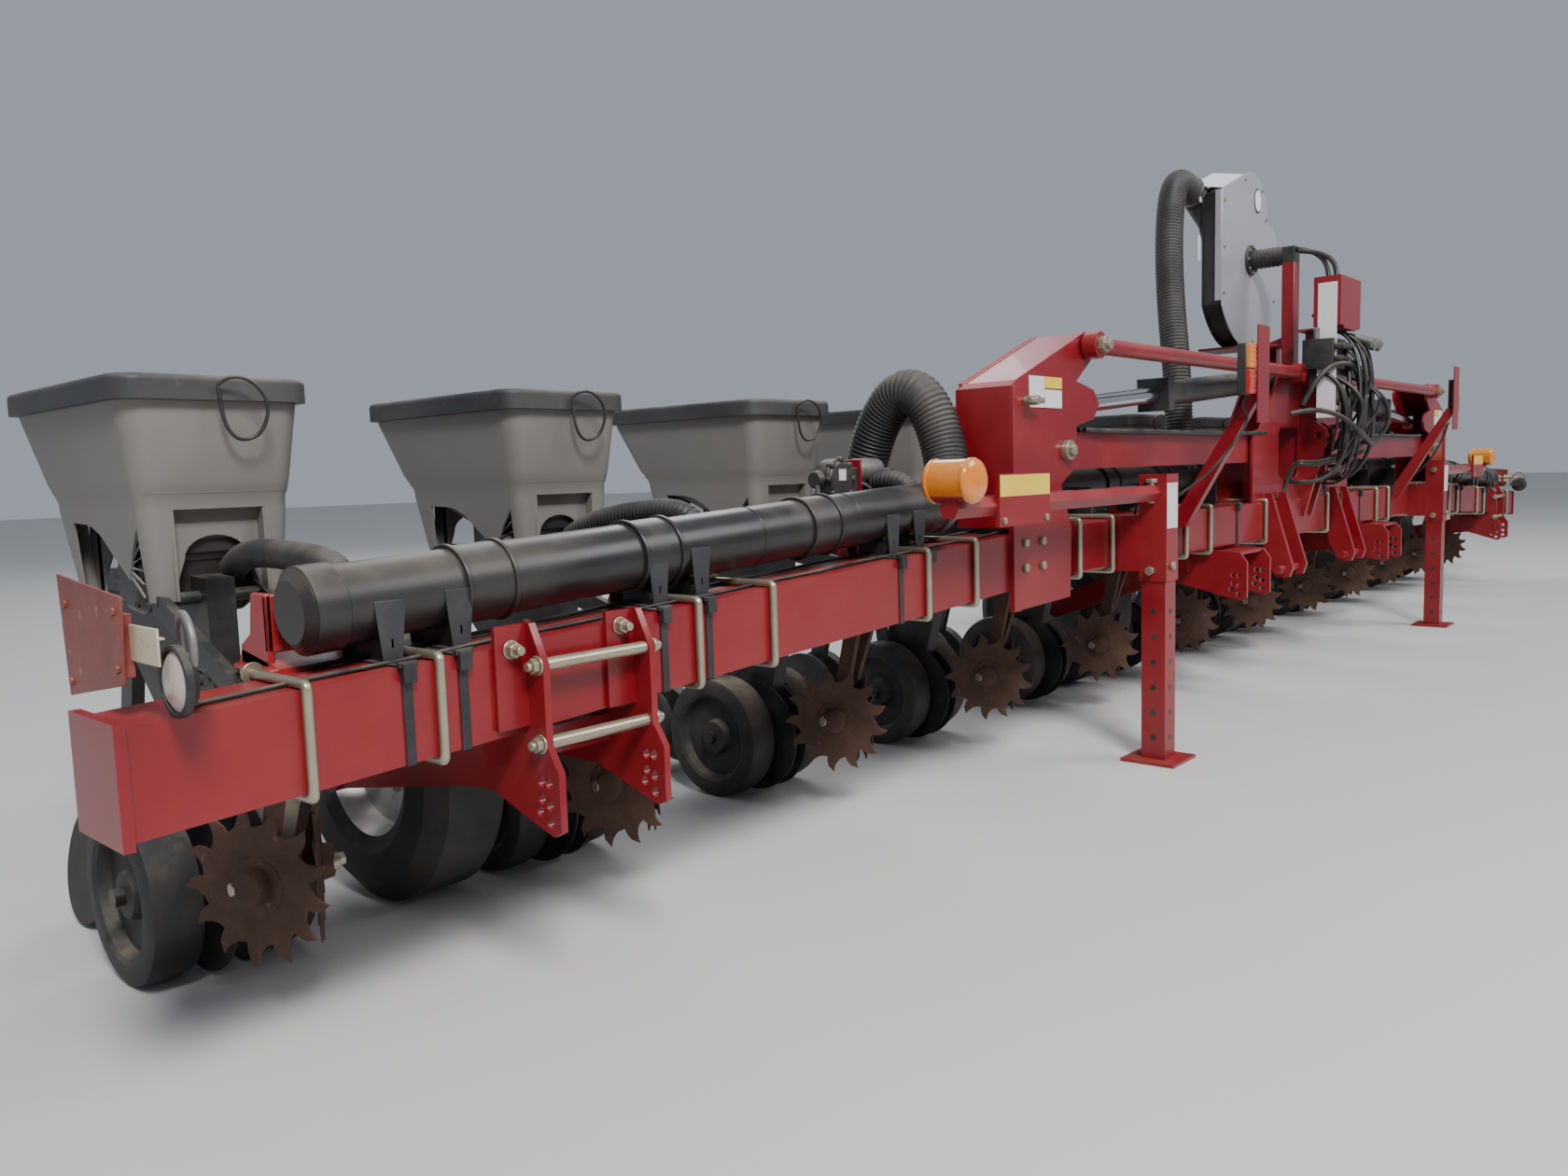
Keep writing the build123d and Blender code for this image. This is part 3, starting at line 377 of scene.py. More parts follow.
FAN_HOSE = ((-290, 440, 2370), (-350, 452, 2404), (-530, 436, 2440), (-700, 405, 2330), (-775, 385, 2050),
            (-880, 320, 1700), (-938, 262, 1400), (-940, 260, 1105))
FAN_HOSE_RADIUS, WING_HOSE_RADIUS = 62, 72
ribbed_hose("ribbed_fan_hose", FAN_HOSE, FAN_HOSE_RADIUS, "centre_frame", "fan_hoses")
WING_HOSE = ((3089, 130, 976), (3046, 131, 985), (2985, 145, 1040), (2962, 185, 1180), (2975, 240, 1320),
             (2972, 330, 1350), (2958, 420, 1280), (2950, 480, 1180), (2950, 505, 1085))
HANDS = (("right", -1), ("left", 1))
for side, sign in HANDS:
    ribbed_hose(f"{side}_ribbed_wing_hose", [(sign * x, back, up) for x, back, up in WING_HOSE],
                WING_HOSE_RADIUS, f"{side}_wing", f"{side}_wing_hose")

# U-bolts: zinc plated round bar, yellowed and rusting at the bends. It is bent over the toolbar
# in pairs, one pair to each row unit's head, with a washer and nut on each leg behind its flange.
zinc = weathered("yellowed zinc plating", (0.34, 0.31, 0.23), (0.50, 0.45, 0.32), (0.11, 0.05, 0.025),
                 0.30, metal=0.75, patch=14.0, dust=0.2, chips=0.25, grain_size=800, relief=0.05)
ROWS = [(row - 6.5) * 914.4 for row in range(1, 13)]
BAR_TOP, BAR_FOOT = 884.8, 707.0
WING_START = 2510
BOLT_RADIUS = 9.5
BOLT_OFFSETS = (-136, 116)


def carrier(x):
    """The body that the toolbar belongs to at this distance across."""
    return "right_wing" if x < -WING_START else "left_wing" if x > WING_START else "centre_frame"


def rows_on(body):
    """The rows, by their distance across, that the body carries."""
    return [row for row in ROWS if carrier(row) == body]


def round_bar(shape, start, end, radius, far_radius=None, sides=20):
    """Adds a round bar between two places, tapered if the far radius differs."""
    start, end = at(*start), at(*end)
    axis = end - start
    turn = axis.to_track_quat("Z", "Y").to_matrix().to_4x4()
    bmesh.ops.create_cone(shape, cap_ends=True, segments=sides, radius1=radius / 1000,
                          radius2=(radius if far_radius is None else far_radius) / 1000,
                          depth=axis.length, matrix=Matrix.Translation((start + end) / 2) @ turn)


def plate(shape, low, high):
    """Adds a flat bar or plate between two corners."""
    a, b = at(*low), at(*high)
    size = [abs(b[k] - a[k]) for k in range(3)]
    place = Matrix.Translation((a + b) / 2) @ Matrix.Diagonal((*size, 1))
    bmesh.ops.create_cube(shape, size=1.0, matrix=place)


def fit(name, shape, look, body, edge=0.0015):
    """Turns the finished shape into a piece with slightly rounded edges, riding on its body."""
    mesh = bpy.data.meshes.new(name)
    shape.to_mesh(mesh)
    shape.free()
    mesh.shade_smooth()
    mesh.set_sharp_from_angle(angle=math.radians(35))
    mesh.materials.append(look)
    made = bpy.data.objects.new(name, mesh)
    bpy.context.scene.collection.objects.link(made)
    if edge:
        rounding = made.modifiers.new("rounded edges", "BEVEL")
        rounding.width = edge
        rounding.segments = 2
        rounding.limit_method = "ANGLE"
        rounding.angle_limit = math.radians(40)
    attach(made, body)
    return made


def bent_bars(name, runs, radius, look, body, order=3):
    """Round bar or hose bent along each run of places, as one piece."""
    curve = bpy.data.curves.new(name, "CURVE")
    curve.dimensions = "3D"
    curve.bevel_depth = radius / 1000
    curve.bevel_resolution = 3
    curve.use_fill_caps = True
    curve.resolution_u = 7
    for run in runs:
        spline = curve.splines.new("NURBS")
        spline.points.add(len(run) - 1)
        for point, place in zip(spline.points, run):
            point.co = (*at(*place), 1)
        spline.order_u = order
        spline.use_endpoint_u = True
    curve.materials.append(look)
    made = bpy.data.objects.new(name, curve)
    bpy.context.scene.collection.objects.link(made)
    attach(made, body)
    return made


BOLT_END, BOLT_BEND = 226, 22
for body in GROUP_BODIES.values():
    runs = []
    nuts = bmesh.new()
    for x in [row + offset for row in rows_on(body) for offset in BOLT_OFFSETS]:
        top, foot = BAR_TOP - droop(x) + BOLT_RADIUS, BAR_FOOT - droop(x) - BOLT_RADIUS
        runs.append([(x, BOLT_END, top), (x, 12, top), (x, -BOLT_RADIUS, top),
                     (x, -BOLT_RADIUS, top - BOLT_BEND), (x, -BOLT_RADIUS, foot + BOLT_BEND),
                     (x, -BOLT_RADIUS, foot), (x, 12, foot), (x, BOLT_END, foot)])
        for up in (top, foot):
            round_bar(nuts, (x, 191, up), (x, 195, up), 21)
            round_bar(nuts, (x, 195, up), (x, 212, up), 17, sides=6)
    bent_bars(f"{body}_u_bolts", runs, BOLT_RADIUS, zinc, body)
    fit(f"{body}_u_bolt_nuts", nuts, zinc, body)

# Cable ties: black nylon straps round the bar and the foot of each pipe saddle, with the buckle
# on the bar's front top edge.
strap_nylon = weathered("black nylon strap", (0.012, 0.012, 0.014), (0.03, 0.03, 0.032), (0.05, 0.05, 0.05),
                        0.42, patch=8.0, dust=0.3, chips=0.1, relief=0.05)
WING_STRAPS = (4977, 4861, 4351, 4212, 3460, 3318)
CENTRE_STRAPS = (2125, 1560, 930)
STRAP = 10
for body, places in (("right_wing", [-x for x in WING_STRAPS]), ("left_wing", WING_STRAPS),
                     ("centre_frame", [hand * x for hand in (-1, 1) for x in CENTRE_STRAPS])):
    straps = bmesh.new()
    for x in places:
        top, foot = BAR_TOP - droop(x), BAR_FOOT - droop(x)
        plate(straps, (x - STRAP, -4, foot - 4), (x + STRAP, -1, top + 4))
        plate(straps, (x - STRAP, -4, top + 1), (x + STRAP, 182, top + 4))
        plate(straps, (x - STRAP, -4, foot - 4), (x + STRAP, 182, foot - 1))
        plate(straps, (x - STRAP, 179, foot - 4), (x + STRAP, 182, top + 4))
        plate(straps, (x - 13, -17, top - 26), (x + 13, -2, top + 10))
        plate(straps, (x - 19, -13, top + 2), (x + 19, 0, top + 12))
    fit(f"{body}_cable_ties", straps, strap_nylon, body, edge=0.001)

# Row vacuum hoses: a short ribbed hose leads from the pipe over each row's head and down to its
# seed meter.
METER_INLET, ROW_HOSE_RADIUS = 62, 30
for number, row in enumerate(ROWS, 1):
    body, sag = carrier(row), droop(row)
    start_back, start_up = (150, BAR_TOP + 150 - sag) if abs(row) > SLOPE_START else (280, 1040)
    start = row + (26 if row < 0 else -26)
    inlet = row + METER_INLET
    ribbed_hose(f"row_{number:02d}_vacuum_hose",
                [(start, start_back, start_up), (start, start_back + 30, start_up + 62 - 0.2 * sag),
                 (start + 10, start_back + 150, start_up + 70 - 0.2 * sag),
                 (row + 40, 560, 1010 - 0.4 * sag), (inlet, 700, 930), (inlet, 770, 880),
                 (inlet, 790, 820)], ROW_HOSE_RADIUS, body)

# Bolts and nuts of the wheel brackets: zinc plated, with their threads standing out of the nuts,
# through the flanges that hold the plates to the bar.
BRACKET_X, HALF_GAP, FLANGE_OFFSET = 4578, 137, 44
for side, sign in HANDS:
    bolts = bmesh.new()
    for plate_x in (BRACKET_X - HALF_GAP, BRACKET_X + HALF_GAP):
        x = sign * (plate_x + FLANGE_OFFSET)
        up = BAR_TOP - droop(x) - 8
        round_bar(bolts, (x, -11, up), (x, -15, up), 19)
        round_bar(bolts, (x, -15, up), (x, -31, up), 16, sides=6)
        round_bar(bolts, (x, -31, up), (x, -47, up), 9)
    fit(f"{side}_bracket_bolts", bolts, zinc, f"{side}_wing")

# Wheel hubs: a ring of wheel nuts with their studs' ends, and a pressed grease cap, on each carrying
# wheel.
WHEEL_NUTS, NUT_CIRCLE, HUB_FACE = 6, 85, 24
for name in wheels:
    low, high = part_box(name)
    centre = [(low[k] + high[k]) * 500 for k in range(3)]
    outward = -1 if centre[0] < 0 else 1
    face_x = centre[0] + outward * HUB_FACE
    hub = bmesh.new()
    axle_back, axle_up = centre[1] - BAR_FRONT, centre[2]
    for turn in range(WHEEL_NUTS):
        a = math.tau * turn / WHEEL_NUTS
        back, up = axle_back + NUT_CIRCLE * math.cos(a), axle_up + NUT_CIRCLE * math.sin(a)
        round_bar(hub, (face_x - outward * 8, back, up), (face_x + outward * 14, back, up), 13, sides=6)
        round_bar(hub, (face_x + outward * 14, back, up), (face_x + outward * 24, back, up), 7)
    round_bar(hub, (face_x, axle_back, axle_up), (face_x + outward * 44, axle_back, axle_up), 46, 34)
    fit(f"{name}_nuts_and_cap", hub, zinc, name)

# Row cleaner hubs: a pale bolt head and washer on each disc's bearing, which the soil has kept
# bright.
CLEANER_UP, HUB_BACK, HUB_OUT = 300, 418, 104
for body in GROUP_BODIES.values():
    heads = bmesh.new()
    for row in rows_on(body):
        for hand in (-1, 1):
            x = row + hand * HUB_OUT
            round_bar(heads, (x - hand * 26, HUB_BACK, CLEANER_UP), (x, HUB_BACK, CLEANER_UP), 22, 18)
            round_bar(heads, (x, HUB_BACK, CLEANER_UP), (x + hand * 14, HUB_BACK, CLEANER_UP), 15, sides=6)
    fit(f"{body}_cleaner_hub_bolts", heads, zinc, body)

# Hopper hold-downs: a thin black spring-steel loop clipped over each lid's front edge, which hangs
# before the bin's face and lifts with the lid.
def loop_wire(name, row, body):
    """The loop hangs from the lid's front edge and stands a little away from the bin's face."""
    x, front = row + 40, 595
    points = [(x - 34, front - 1, 1300), (x - 22, front - 20, 1322), (x + 26, front - 34, 1314),
              (x + 62, front - 30, 1262), (x + 46, front - 14, 1200), (x + 4, front - 4, 1186),
              (x - 22, front - 2, 1214), (x - 30, front - 2, 1262), (x - 32, front - 3, 1304)]
    return bent_bars(name, [points], 4, black_paint, body)


for number, row in enumerate(ROWS, 1):
    loop_wire(f"row_{number:02d}_hold_down_loop", row, f"row_{number:02d}_hopper_lid")

# The near and far wing ends carry a round reflector in a worn black bezel, hung from a bent grey
# rod, a cream plate behind it, and a dark red reflector panel mottled with pinkish brown patches
# and pale flecks, standing off the end plate.
aged_lens = weathered("aged pale lens", (0.42, 0.36, 0.33), (0.60, 0.54, 0.50), (0.30, 0.12, 0.10),
                      0.22, coat=0.4, patch=22.0, dust=0.4, chips=0.3, relief=0.05)
cream_plate = weathered("cream painted plate", (0.50, 0.42, 0.30), (0.62, 0.55, 0.42), (0.20, 0.10, 0.06),
                        0.42, patch=9.0, dust=0.3, chips=0.5, relief=0.05)
dull_steel = weathered("dull grey steel", (0.16, 0.15, 0.15), (0.28, 0.27, 0.26), (0.12, 0.06, 0.03),
                       0.42, metal=0.6, patch=12.0, dust=0.3, chips=0.4, relief=0.08)
panel_red = weathered("mottled red reflector panel", (0.16, 0.022, 0.016), (0.30, 0.075, 0.055),
                      (0.34, 0.24, 0.20), 0.34, patch=18.0, dust=0.3, chips=0.8, grain_size=120, relief=0.2)
END_LAMP = (5380, -55, 802)
PANEL_INNER, PANEL_OUTER = 5419, 5423
PANEL_CORNERS = ((321, 954), (303, 749), (47, 791), (33, 929))
PANEL_BOLTS = ((64, 905), (64, 815), (286, 905), (286, 775))
LAMP_REACH = 52
for side, sign in HANDS:
    body = f"{side}_wing"
    x, back, up = sign * END_LAMP[0], END_LAMP[1], END_LAMP[2]
    lens = bmesh.new()
    round_bar(lens, (x, back, up), (x + sign * 4, back, up), LAMP_REACH - 2, sides=40)
    round_bar(lens, (x + sign * 4, back, up), (x + sign * 11, back, up),
              LAMP_REACH - 4, LAMP_REACH - 16, sides=40)
    fit(f"{side}_end_reflector_lens", lens, aged_lens, body)
    bezel = bmesh.new()
    round_bar(bezel, (x - sign * 14, back, up), (x, back, up), LAMP_REACH - 10, LAMP_REACH + 2, sides=40)
    for step in range(40):
        a, b = math.tau * step / 40, math.tau * (step + 1) / 40
        ring = [bezel.verts.new(at(x + sign * q, back + r * math.cos(t), up + r * math.sin(t)))
                for t in (a, b) for r, q in ((LAMP_REACH - 4, 3), (LAMP_REACH - 4, 10),
                                             (LAMP_REACH + 4, 10), (LAMP_REACH + 4, -3))]
        for k in range(4):
            bezel.faces.new((ring[k], ring[(k + 1) % 4], ring[4 + (k + 1) % 4], ring[4 + k]))
    bmesh.ops.remove_doubles(bezel, verts=bezel.verts, dist=1e-5)
    bmesh.ops.recalc_face_normals(bezel, faces=bezel.faces)
    round_bar(bezel, (x - sign * 14, back, up), (x - sign * 34, back, up), 9)
    plate(bezel, (x - sign * 40, back - 8, up - 12), (x - sign * 30, -0.5, up + 12))
    fit(f"{side}_end_reflector_bezel", bezel, black_paint, body)
    bent_bars(f"{side}_end_reflector_rod",
              [[(x - sign * 70, 60, BAR_TOP + 6 - droop(x)), (x - sign * 40, 20, BAR_TOP + 8 - droop(x)),
                (x - sign * 24, -6, up + 70), (x - sign * 16, -30, up + 96), (x - sign * 10, -62, up + 104),
                (x - sign * 8, -92, up + 84), (x - sign * 8, -102, up + 52), (x - sign * 8, -96, up + 26)]],
              6, dull_steel, body)
    cream = bmesh.new()
    plate(cream, (x + sign * 21, -51, up + 24), (x + sign * 25, 98, up + 82))
    plate(cream, (x + sign * 2, -20, up + 60), (x + sign * 23, 90, up + 64))
    fit(f"{side}_end_cream_plate", cream, cream_plate, body)
    board = bmesh.new()
    for x in (sign * PANEL_INNER, sign * PANEL_OUTER):
        board.faces.new([board.verts.new(at(x, b, u)) for b, u in PANEL_CORNERS])
    near, far = list(board.verts)[:4], list(board.verts)[4:]
    for k in range(4):
        board.faces.new((near[k], near[(k + 1) % 4], far[(k + 1) % 4], far[k]))
    bmesh.ops.recalc_face_normals(board, faces=board.faces)
    for b, u in PANEL_BOLTS:
        round_bar(board, (sign * (PANEL_INNER - 2), b, u), (sign * (PANEL_OUTER + 4), b, u), 7, sides=6)
    plate(board, (sign * (PANEL_INNER - 19), 60, 800), (sign * PANEL_INNER, 82, 900))
    fit(f"{side}_end_reflector_panel", board, panel_red, body, edge=0.001)

# Cables on the bar: two thin black cables lie along its top, one before and one behind the pipe,
# and sway a little between the saddles.
cable_rubber = weathered("hydraulic hose rubber", (0.010, 0.010, 0.010), (0.030, 0.029, 0.028),
                         (0.05, 0.045, 0.04), 0.36, patch=9.0, dust=0.45, chips=0.1, relief=0.04)
CABLE_POINTS, CABLE_END = 24, 2640
for side, sign in HANDS:
    runs = []
    for back, start, sway in ((48, 5360, 7.0), (158, 5080, 9.0)):
        run = []
        for step in range(CABLE_POINTS):
            x = start - step * (start - CABLE_END) / (CABLE_POINTS - 1)
            run.append((sign * x, back + sway * math.sin(step * 1.9 + back), BAR_TOP - droop(x) + 6))
        runs.append(run)
    bent_bars(f"{side}_bar_top_cables", runs, 4.5, cable_rubber, f"{side}_wing")

# Fold towers: blank plates, a latch pin with its cross handle, the lift arm's round pin head, the
# nuts on the tie link's ends and the bolts that hold the front plate to the bar.
blank_white = weathered("blank white plate", (0.60, 0.60, 0.60), (0.72, 0.71, 0.69), (0.30, 0.25, 0.22),
                        0.35, patch=10.0, dust=0.3, chips=0.3, relief=0.02)
blank_yellow = weathered("blank yellow strip", (0.72, 0.47, 0.03), (0.80, 0.58, 0.12), (0.30, 0.20, 0.10),
                         0.32, patch=8.0, dust=0.3, chips=0.2, relief=0.02)
PLATE_FACE = -12
LATCH_X, LATCH_UP = 2790, 1290
LIFT_PIN_X, LIFT_PIN_UP = 2524, 1133
TIE_PIN_X, TIE_PIN_UP = 2380, 1485
for side, sign in HANDS:
    label = bmesh.new()
    plate(label, (sign * 2766, -15, 1271), (sign * 2668, -12.2, 1371))
    plate(label, (sign * 2664, -15, 1271), (sign * 2553, -12.2, 1330))
    fit(f"{side}_tower_white_plate", label, blank_white, f"{side}_wing", edge=0.0008)
    patch_plate = bmesh.new()
    plate(patch_plate, (sign * 2664, -15.5, 1334), (sign * 2553, -12.2, 1371))
    fit(f"{side}_tower_yellow_plate", patch_plate, blank_yellow, f"{side}_wing",
        edge=0.0008)
    pins = bmesh.new()
    latch, lift, tie = sign * LATCH_X, sign * LIFT_PIN_X, sign * TIE_PIN_X
    round_bar(pins, (latch, PLATE_FACE, LATCH_UP), (latch, -62, LATCH_UP), 15)
    round_bar(pins, (latch + sign * 42, -52, LATCH_UP), (latch - sign * 42, -52, LATCH_UP), 10)
    round_bar(pins, (lift, PLATE_FACE, LIFT_PIN_UP), (lift, -34, LIFT_PIN_UP), 34)
    round_bar(pins, (lift, -34, LIFT_PIN_UP), (lift, -48, LIFT_PIN_UP), 20, sides=6)
    round_bar(pins, (tie, -70, TIE_PIN_UP), (tie, -92, TIE_PIN_UP), 30, sides=6)
    round_bar(pins, (tie, -92, TIE_PIN_UP), (tie, -108, TIE_PIN_UP), 17)
    for up in (760, 840):
        for x in (2690, 2800):
            round_bar(pins, (sign * x, PLATE_FACE, up), (sign * x, -24, up), 15, sides=6)
    fit(f"{side}_tower_pins_and_bolts", pins, zinc, f"{side}_wing")

# Stands: two crossways pins with their nuts, a clamping bolt and a blank white plate on each sleeve,
# and thin black discs on two faces of the leg: painted shade that stands for its adjusting holes.
STAND_X, STAND_BACK = 2073, -139
PIN_HEIGHTS, PIN_REACH = (700, 985), 72
LEG_FACE, FIRST_HOLE, HOLE_STEP, LEG_HOLES = 44.2, 90, 92, 6
for side, sign in HANDS:
    x = sign * STAND_X
    pins = bmesh.new()
    for up in PIN_HEIGHTS:
        round_bar(pins, (x + sign * PIN_REACH, STAND_BACK, up), (x - sign * PIN_REACH, STAND_BACK, up), 11)
        for end in (sign * PIN_REACH, -sign * PIN_REACH):
            round_bar(pins, (x + end, STAND_BACK, up), (x + end + math.copysign(12, end), STAND_BACK, up),
                      17, sides=6)
    round_bar(pins, (x + sign * 10, STAND_BACK - 52, 715), (x + sign * 10, STAND_BACK - 64, 715), 15)
    fit(f"{side}_stand_pins", pins, zinc, "centre_frame")
    label = bmesh.new()
    plate(label, (x + sign * 48, STAND_BACK - 51.2, 849), (x - sign * 40, STAND_BACK - 53, 1010))
    fit(f"{side}_stand_white_plate", label, blank_white, "centre_frame", edge=0.0006)
    # Each adjusting hole is a thin black disc on the leg's face, painted shade for the hole's dark inside.
    hole_shade_discs = bmesh.new()
    for step in range(LEG_HOLES):
        up = FIRST_HOLE + step * HOLE_STEP
        for across_leg, along_leg in ((0, 1), (1, 0)):
            near, far = LEG_FACE, LEG_FACE + 0.35
            round_bar(hole_shade_discs, (x - across_leg * near, STAND_BACK - along_leg * near, up),
                      (x - across_leg * far, STAND_BACK - along_leg * far, up), 11)
    fit(f"{side}_stand_leg_hole_shade", hole_shade_discs, black_paint, f"{side}_stand_leg", edge=0)

# Lamp arms: a yellow reflective strip on each red plate, a clevis bolt at the arm's root, and an
# amber drum lamp with a domed lens on each face, fed by a cable along the arm.
amber_lens = weathered("amber lamp lens", (0.62, 0.17, 0.010), (0.72, 0.28, 0.04), (0.30, 0.12, 0.03),
                       0.14, coat=0.6, patch=16.0, dust=0.25, chips=0.0, grain_size=160, relief=0.25)
red_lens = weathered("red lamp lens", (0.40, 0.008, 0.006), (0.50, 0.04, 0.02), (0.2, 0.05, 0.03),
                     0.14, coat=0.6, patch=16.0, dust=0.25, chips=0.0, grain_size=160, relief=0.25)
LAMP_X, LAMP_BACK, LAMP_UP = 3395, -139, 1050
dress(["marker_arms"], red_paint, amber_lens)
refinish("marker_arms", 1, lambda x, back, up: abs(abs(x) - LAMP_X) < 62 and up > LAMP_UP - 42)
LENS_FACE, CLEVIS_X = 52, 2136
PLATE_BOLT_X = (2960, 3200)
LAMP_CABLE = ((3395, -120, 992), (3340, -118, 1010), (3200, -116, 999), (2900, -115, 1003),
              (2500, -116, 998), (2200, -118, 1004), (2130, -100, 985), (2100, -60, 900))
DOME = ((61, 0), (63, 4), (62.5, 10), (58, 17), (46, 25), (26, 31), (5, 33))  # radius, step outwards
for side, sign in HANDS:
    strip = bmesh.new()
    plate(strip, (sign * 3221, -176.6, 1000), (sign * 2939, -178.6, 1061))
    fit(f"{side}_lamp_arm_yellow_strip", strip, blank_yellow, "centre_frame", edge=0.0005)
    clevis = bmesh.new()
    x = sign * CLEVIS_X
    round_bar(clevis, (x, LAMP_BACK, 940), (x, LAMP_BACK, 1012), 13)
    round_bar(clevis, (x, LAMP_BACK, 1012), (x, LAMP_BACK, 1026), 22, sides=6)
    for x in PLATE_BOLT_X:
        round_bar(clevis, (sign * x, -176, 932), (sign * x, -184, 932), 11, sides=6)
    fit(f"{side}_lamp_arm_bolts", clevis, zinc, "centre_frame")
    for facing, name in ((-1, "front"), (1, "rear")):
        lens = bmesh.new()
        start = LAMP_BACK + facing * LENS_FACE
        for (near, near_step), (far, far_step) in zip(DOME, DOME[1:]):
            round_bar(lens, (sign * LAMP_X, start + facing * near_step, LAMP_UP),
                      (sign * LAMP_X, start + facing * far_step, LAMP_UP), near, far, sides=48)
        fit(f"{side}_amber_lamp_{name}_lens", lens, amber_lens, "centre_frame", edge=0)
    bent_bars(f"{side}_lamp_arm_cable",
              [[(sign * x, back, up) for x, back, up in LAMP_CABLE]], 4, cable_rubber,
              "centre_frame")

# Sign arms: bolts along the edge of each faded red plate, and beside it a box lamp with an amber
# lens over a red one in a black moulded body, with its cable down to the bar.
SIGN_X, SIGN_BACK = 1585, -331
SIGN_BOLTS = (1262, 1310, 1400, 1490, 1552)
for side, sign in HANDS:
    lamp_x = sign * (SIGN_X + 92)
    shell = bmesh.new()
    plate(shell, (lamp_x - 34, SIGN_BACK + 17, 1322), (lamp_x + 34, SIGN_BACK + 52, 1512))
    plate(shell, (lamp_x - 30, SIGN_BACK + 22, 1340), (lamp_x + sign * -70, SIGN_BACK + 34, 1370))
    fit(f"{side}_box_lamp_body", shell, black_plastic, "centre_frame", edge=0.004)
    for name, look, low_up, high_up in (("amber", amber_lens, 1420, 1508), ("red", red_lens, 1326, 1416)):
        lens = bmesh.new()
        plate(lens, (lamp_x - 31, SIGN_BACK + 3, low_up), (lamp_x + 31, SIGN_BACK + 20, high_up))
        for rib in range(5):
            up = low_up + 10 + rib * (high_up - low_up - 20) / 4
            round_bar(lens, (lamp_x - 28, SIGN_BACK + 3, up), (lamp_x + 28, SIGN_BACK + 3, up), 3, sides=10)
        fit(f"{side}_box_lamp_{name}_lens", lens, look, "centre_frame", edge=0.004)
    studs = bmesh.new()
    stud_x = sign * (SIGN_X - 20)
    for up in SIGN_BOLTS:
        round_bar(studs, (stud_x, SIGN_BACK + 4, up), (stud_x, SIGN_BACK - 2, up), 8, sides=6)
    fit(f"{side}_sign_plate_bolts", studs, dull_steel, "centre_frame", edge=0.0008)
    bent_bars(f"{side}_sign_arm_cable",
              [[(lamp_x, SIGN_BACK + 24, 1330), (lamp_x - sign * 20, SIGN_BACK + 60, 1290),
                (sign * 1600, SIGN_BACK + 40, 1240), (sign * 1640, -250, 1150),
                (sign * 1700, -180, 1040), (sign * 1760, -60, 940), (sign * 1770, -4, 900)]],
              5, cable_rubber, "centre_frame")

# Fan fittings: a bright white flap bent back over the top left corner, a blank white oval in a
# dark ring and small white tabs, with bolts round the plate's edge and on the motor's flange, and
# two steel clamps on the hose.
bright_white = weathered("bright white flap", (0.78, 0.78, 0.78), (0.88, 0.88, 0.87), (0.50, 0.48, 0.45),
                         0.28, patch=3.0, dust=0.12, chips=0.1, relief=0.02)
SHEET_FRONT = 294
flap = bmesh.new()
front_edge = [at(-352, 298, 2394), at(-72, 298, 2500)]
back_edge = [at(-72, 452, 2535), at(-352, 452, 2428)]
FLAP_THICK = 0.003
for lift in (0.0, FLAP_THICK):
    flap.faces.new([flap.verts.new(p + Vector((0, 0, lift))) for p in front_edge + back_edge])
flat = list(flap.verts)
for k in range(4):
    flap.faces.new((flat[k], flat[(k + 1) % 4], flat[4 + (k + 1) % 4], flat[4 + k]))
bmesh.ops.recalc_face_normals(flap, faces=flap.faces)
fit("fan_white_flap", flap, bright_white, "centre_frame", edge=0.001)
OVAL_X, OVAL_UP, OVAL_RADIUS, OVAL_NARROWING = 114, 2400, 62, 0.72
for name, look, reach, thick in (("ring", black_plastic, 1.0, 3), ("plate", bright_white, 0.86, 5)):
    oval = bmesh.new()
    round_bar(oval, (OVAL_X, SHEET_FRONT, OVAL_UP), (OVAL_X, SHEET_FRONT - thick, OVAL_UP),
              OVAL_RADIUS * reach, sides=44)
    for vert in oval.verts:
        vert.co.x = OVAL_X / 1000 + (vert.co.x - OVAL_X / 1000) * OVAL_NARROWING
    fit(f"fan_oval_{name}", oval, look, "centre_frame", edge=0.001)
tabs = bmesh.new()
for x, up, wide, tall in ((-330, 2370, 46, 60), (-372, 2120, 18, 120)):
    plate(tabs, (x - wide, 396, up - tall / 2), (x + 6, 400, up + tall / 2))
fit("fan_white_tabs", tabs, bright_white, "centre_frame", edge=0.001)
bolts = bmesh.new()
PLATE_BOLTS = ((-330, 1900), (-330, 2120), (-330, 2340), (-60, 2480), (180, 2460), (236, 2320),
               (430, 2130), (370, 1920), (200, 1760), (60, 1690))
for x, up in PLATE_BOLTS:
    round_bar(bolts, (x, SHEET_FRONT, up), (x, SHEET_FRONT - 7, up), 9, sides=6)
MOTOR_X, MOTOR_UP, FLANGE_BOLTS, FLANGE_CIRCLE = 20, 2090, 8, 62
for turn in range(FLANGE_BOLTS):
    a = math.tau * turn / FLANGE_BOLTS
    x, up = MOTOR_X + FLANGE_CIRCLE * math.cos(a), MOTOR_UP + FLANGE_CIRCLE * math.sin(a)
    round_bar(bolts, (x, SHEET_FRONT - 10, up), (x, SHEET_FRONT - 22, up), 8, sides=6)
fit("fan_plate_bolts", bolts, zinc, "centre_frame", edge=0.0006)
clamps = bmesh.new()
HOSE_CLAMPS = (((-318, 446, 2387), (-330, 448, 2394)), ((-352, 450, 2402), (-366, 450, 2408)))
for near, far in HOSE_CLAMPS:
    round_bar(clamps, near, far, FAN_HOSE_RADIUS + 5, sides=36)
fit("fan_hose_clamps", clamps, dull_steel, "centre_frame", edge=0.001)

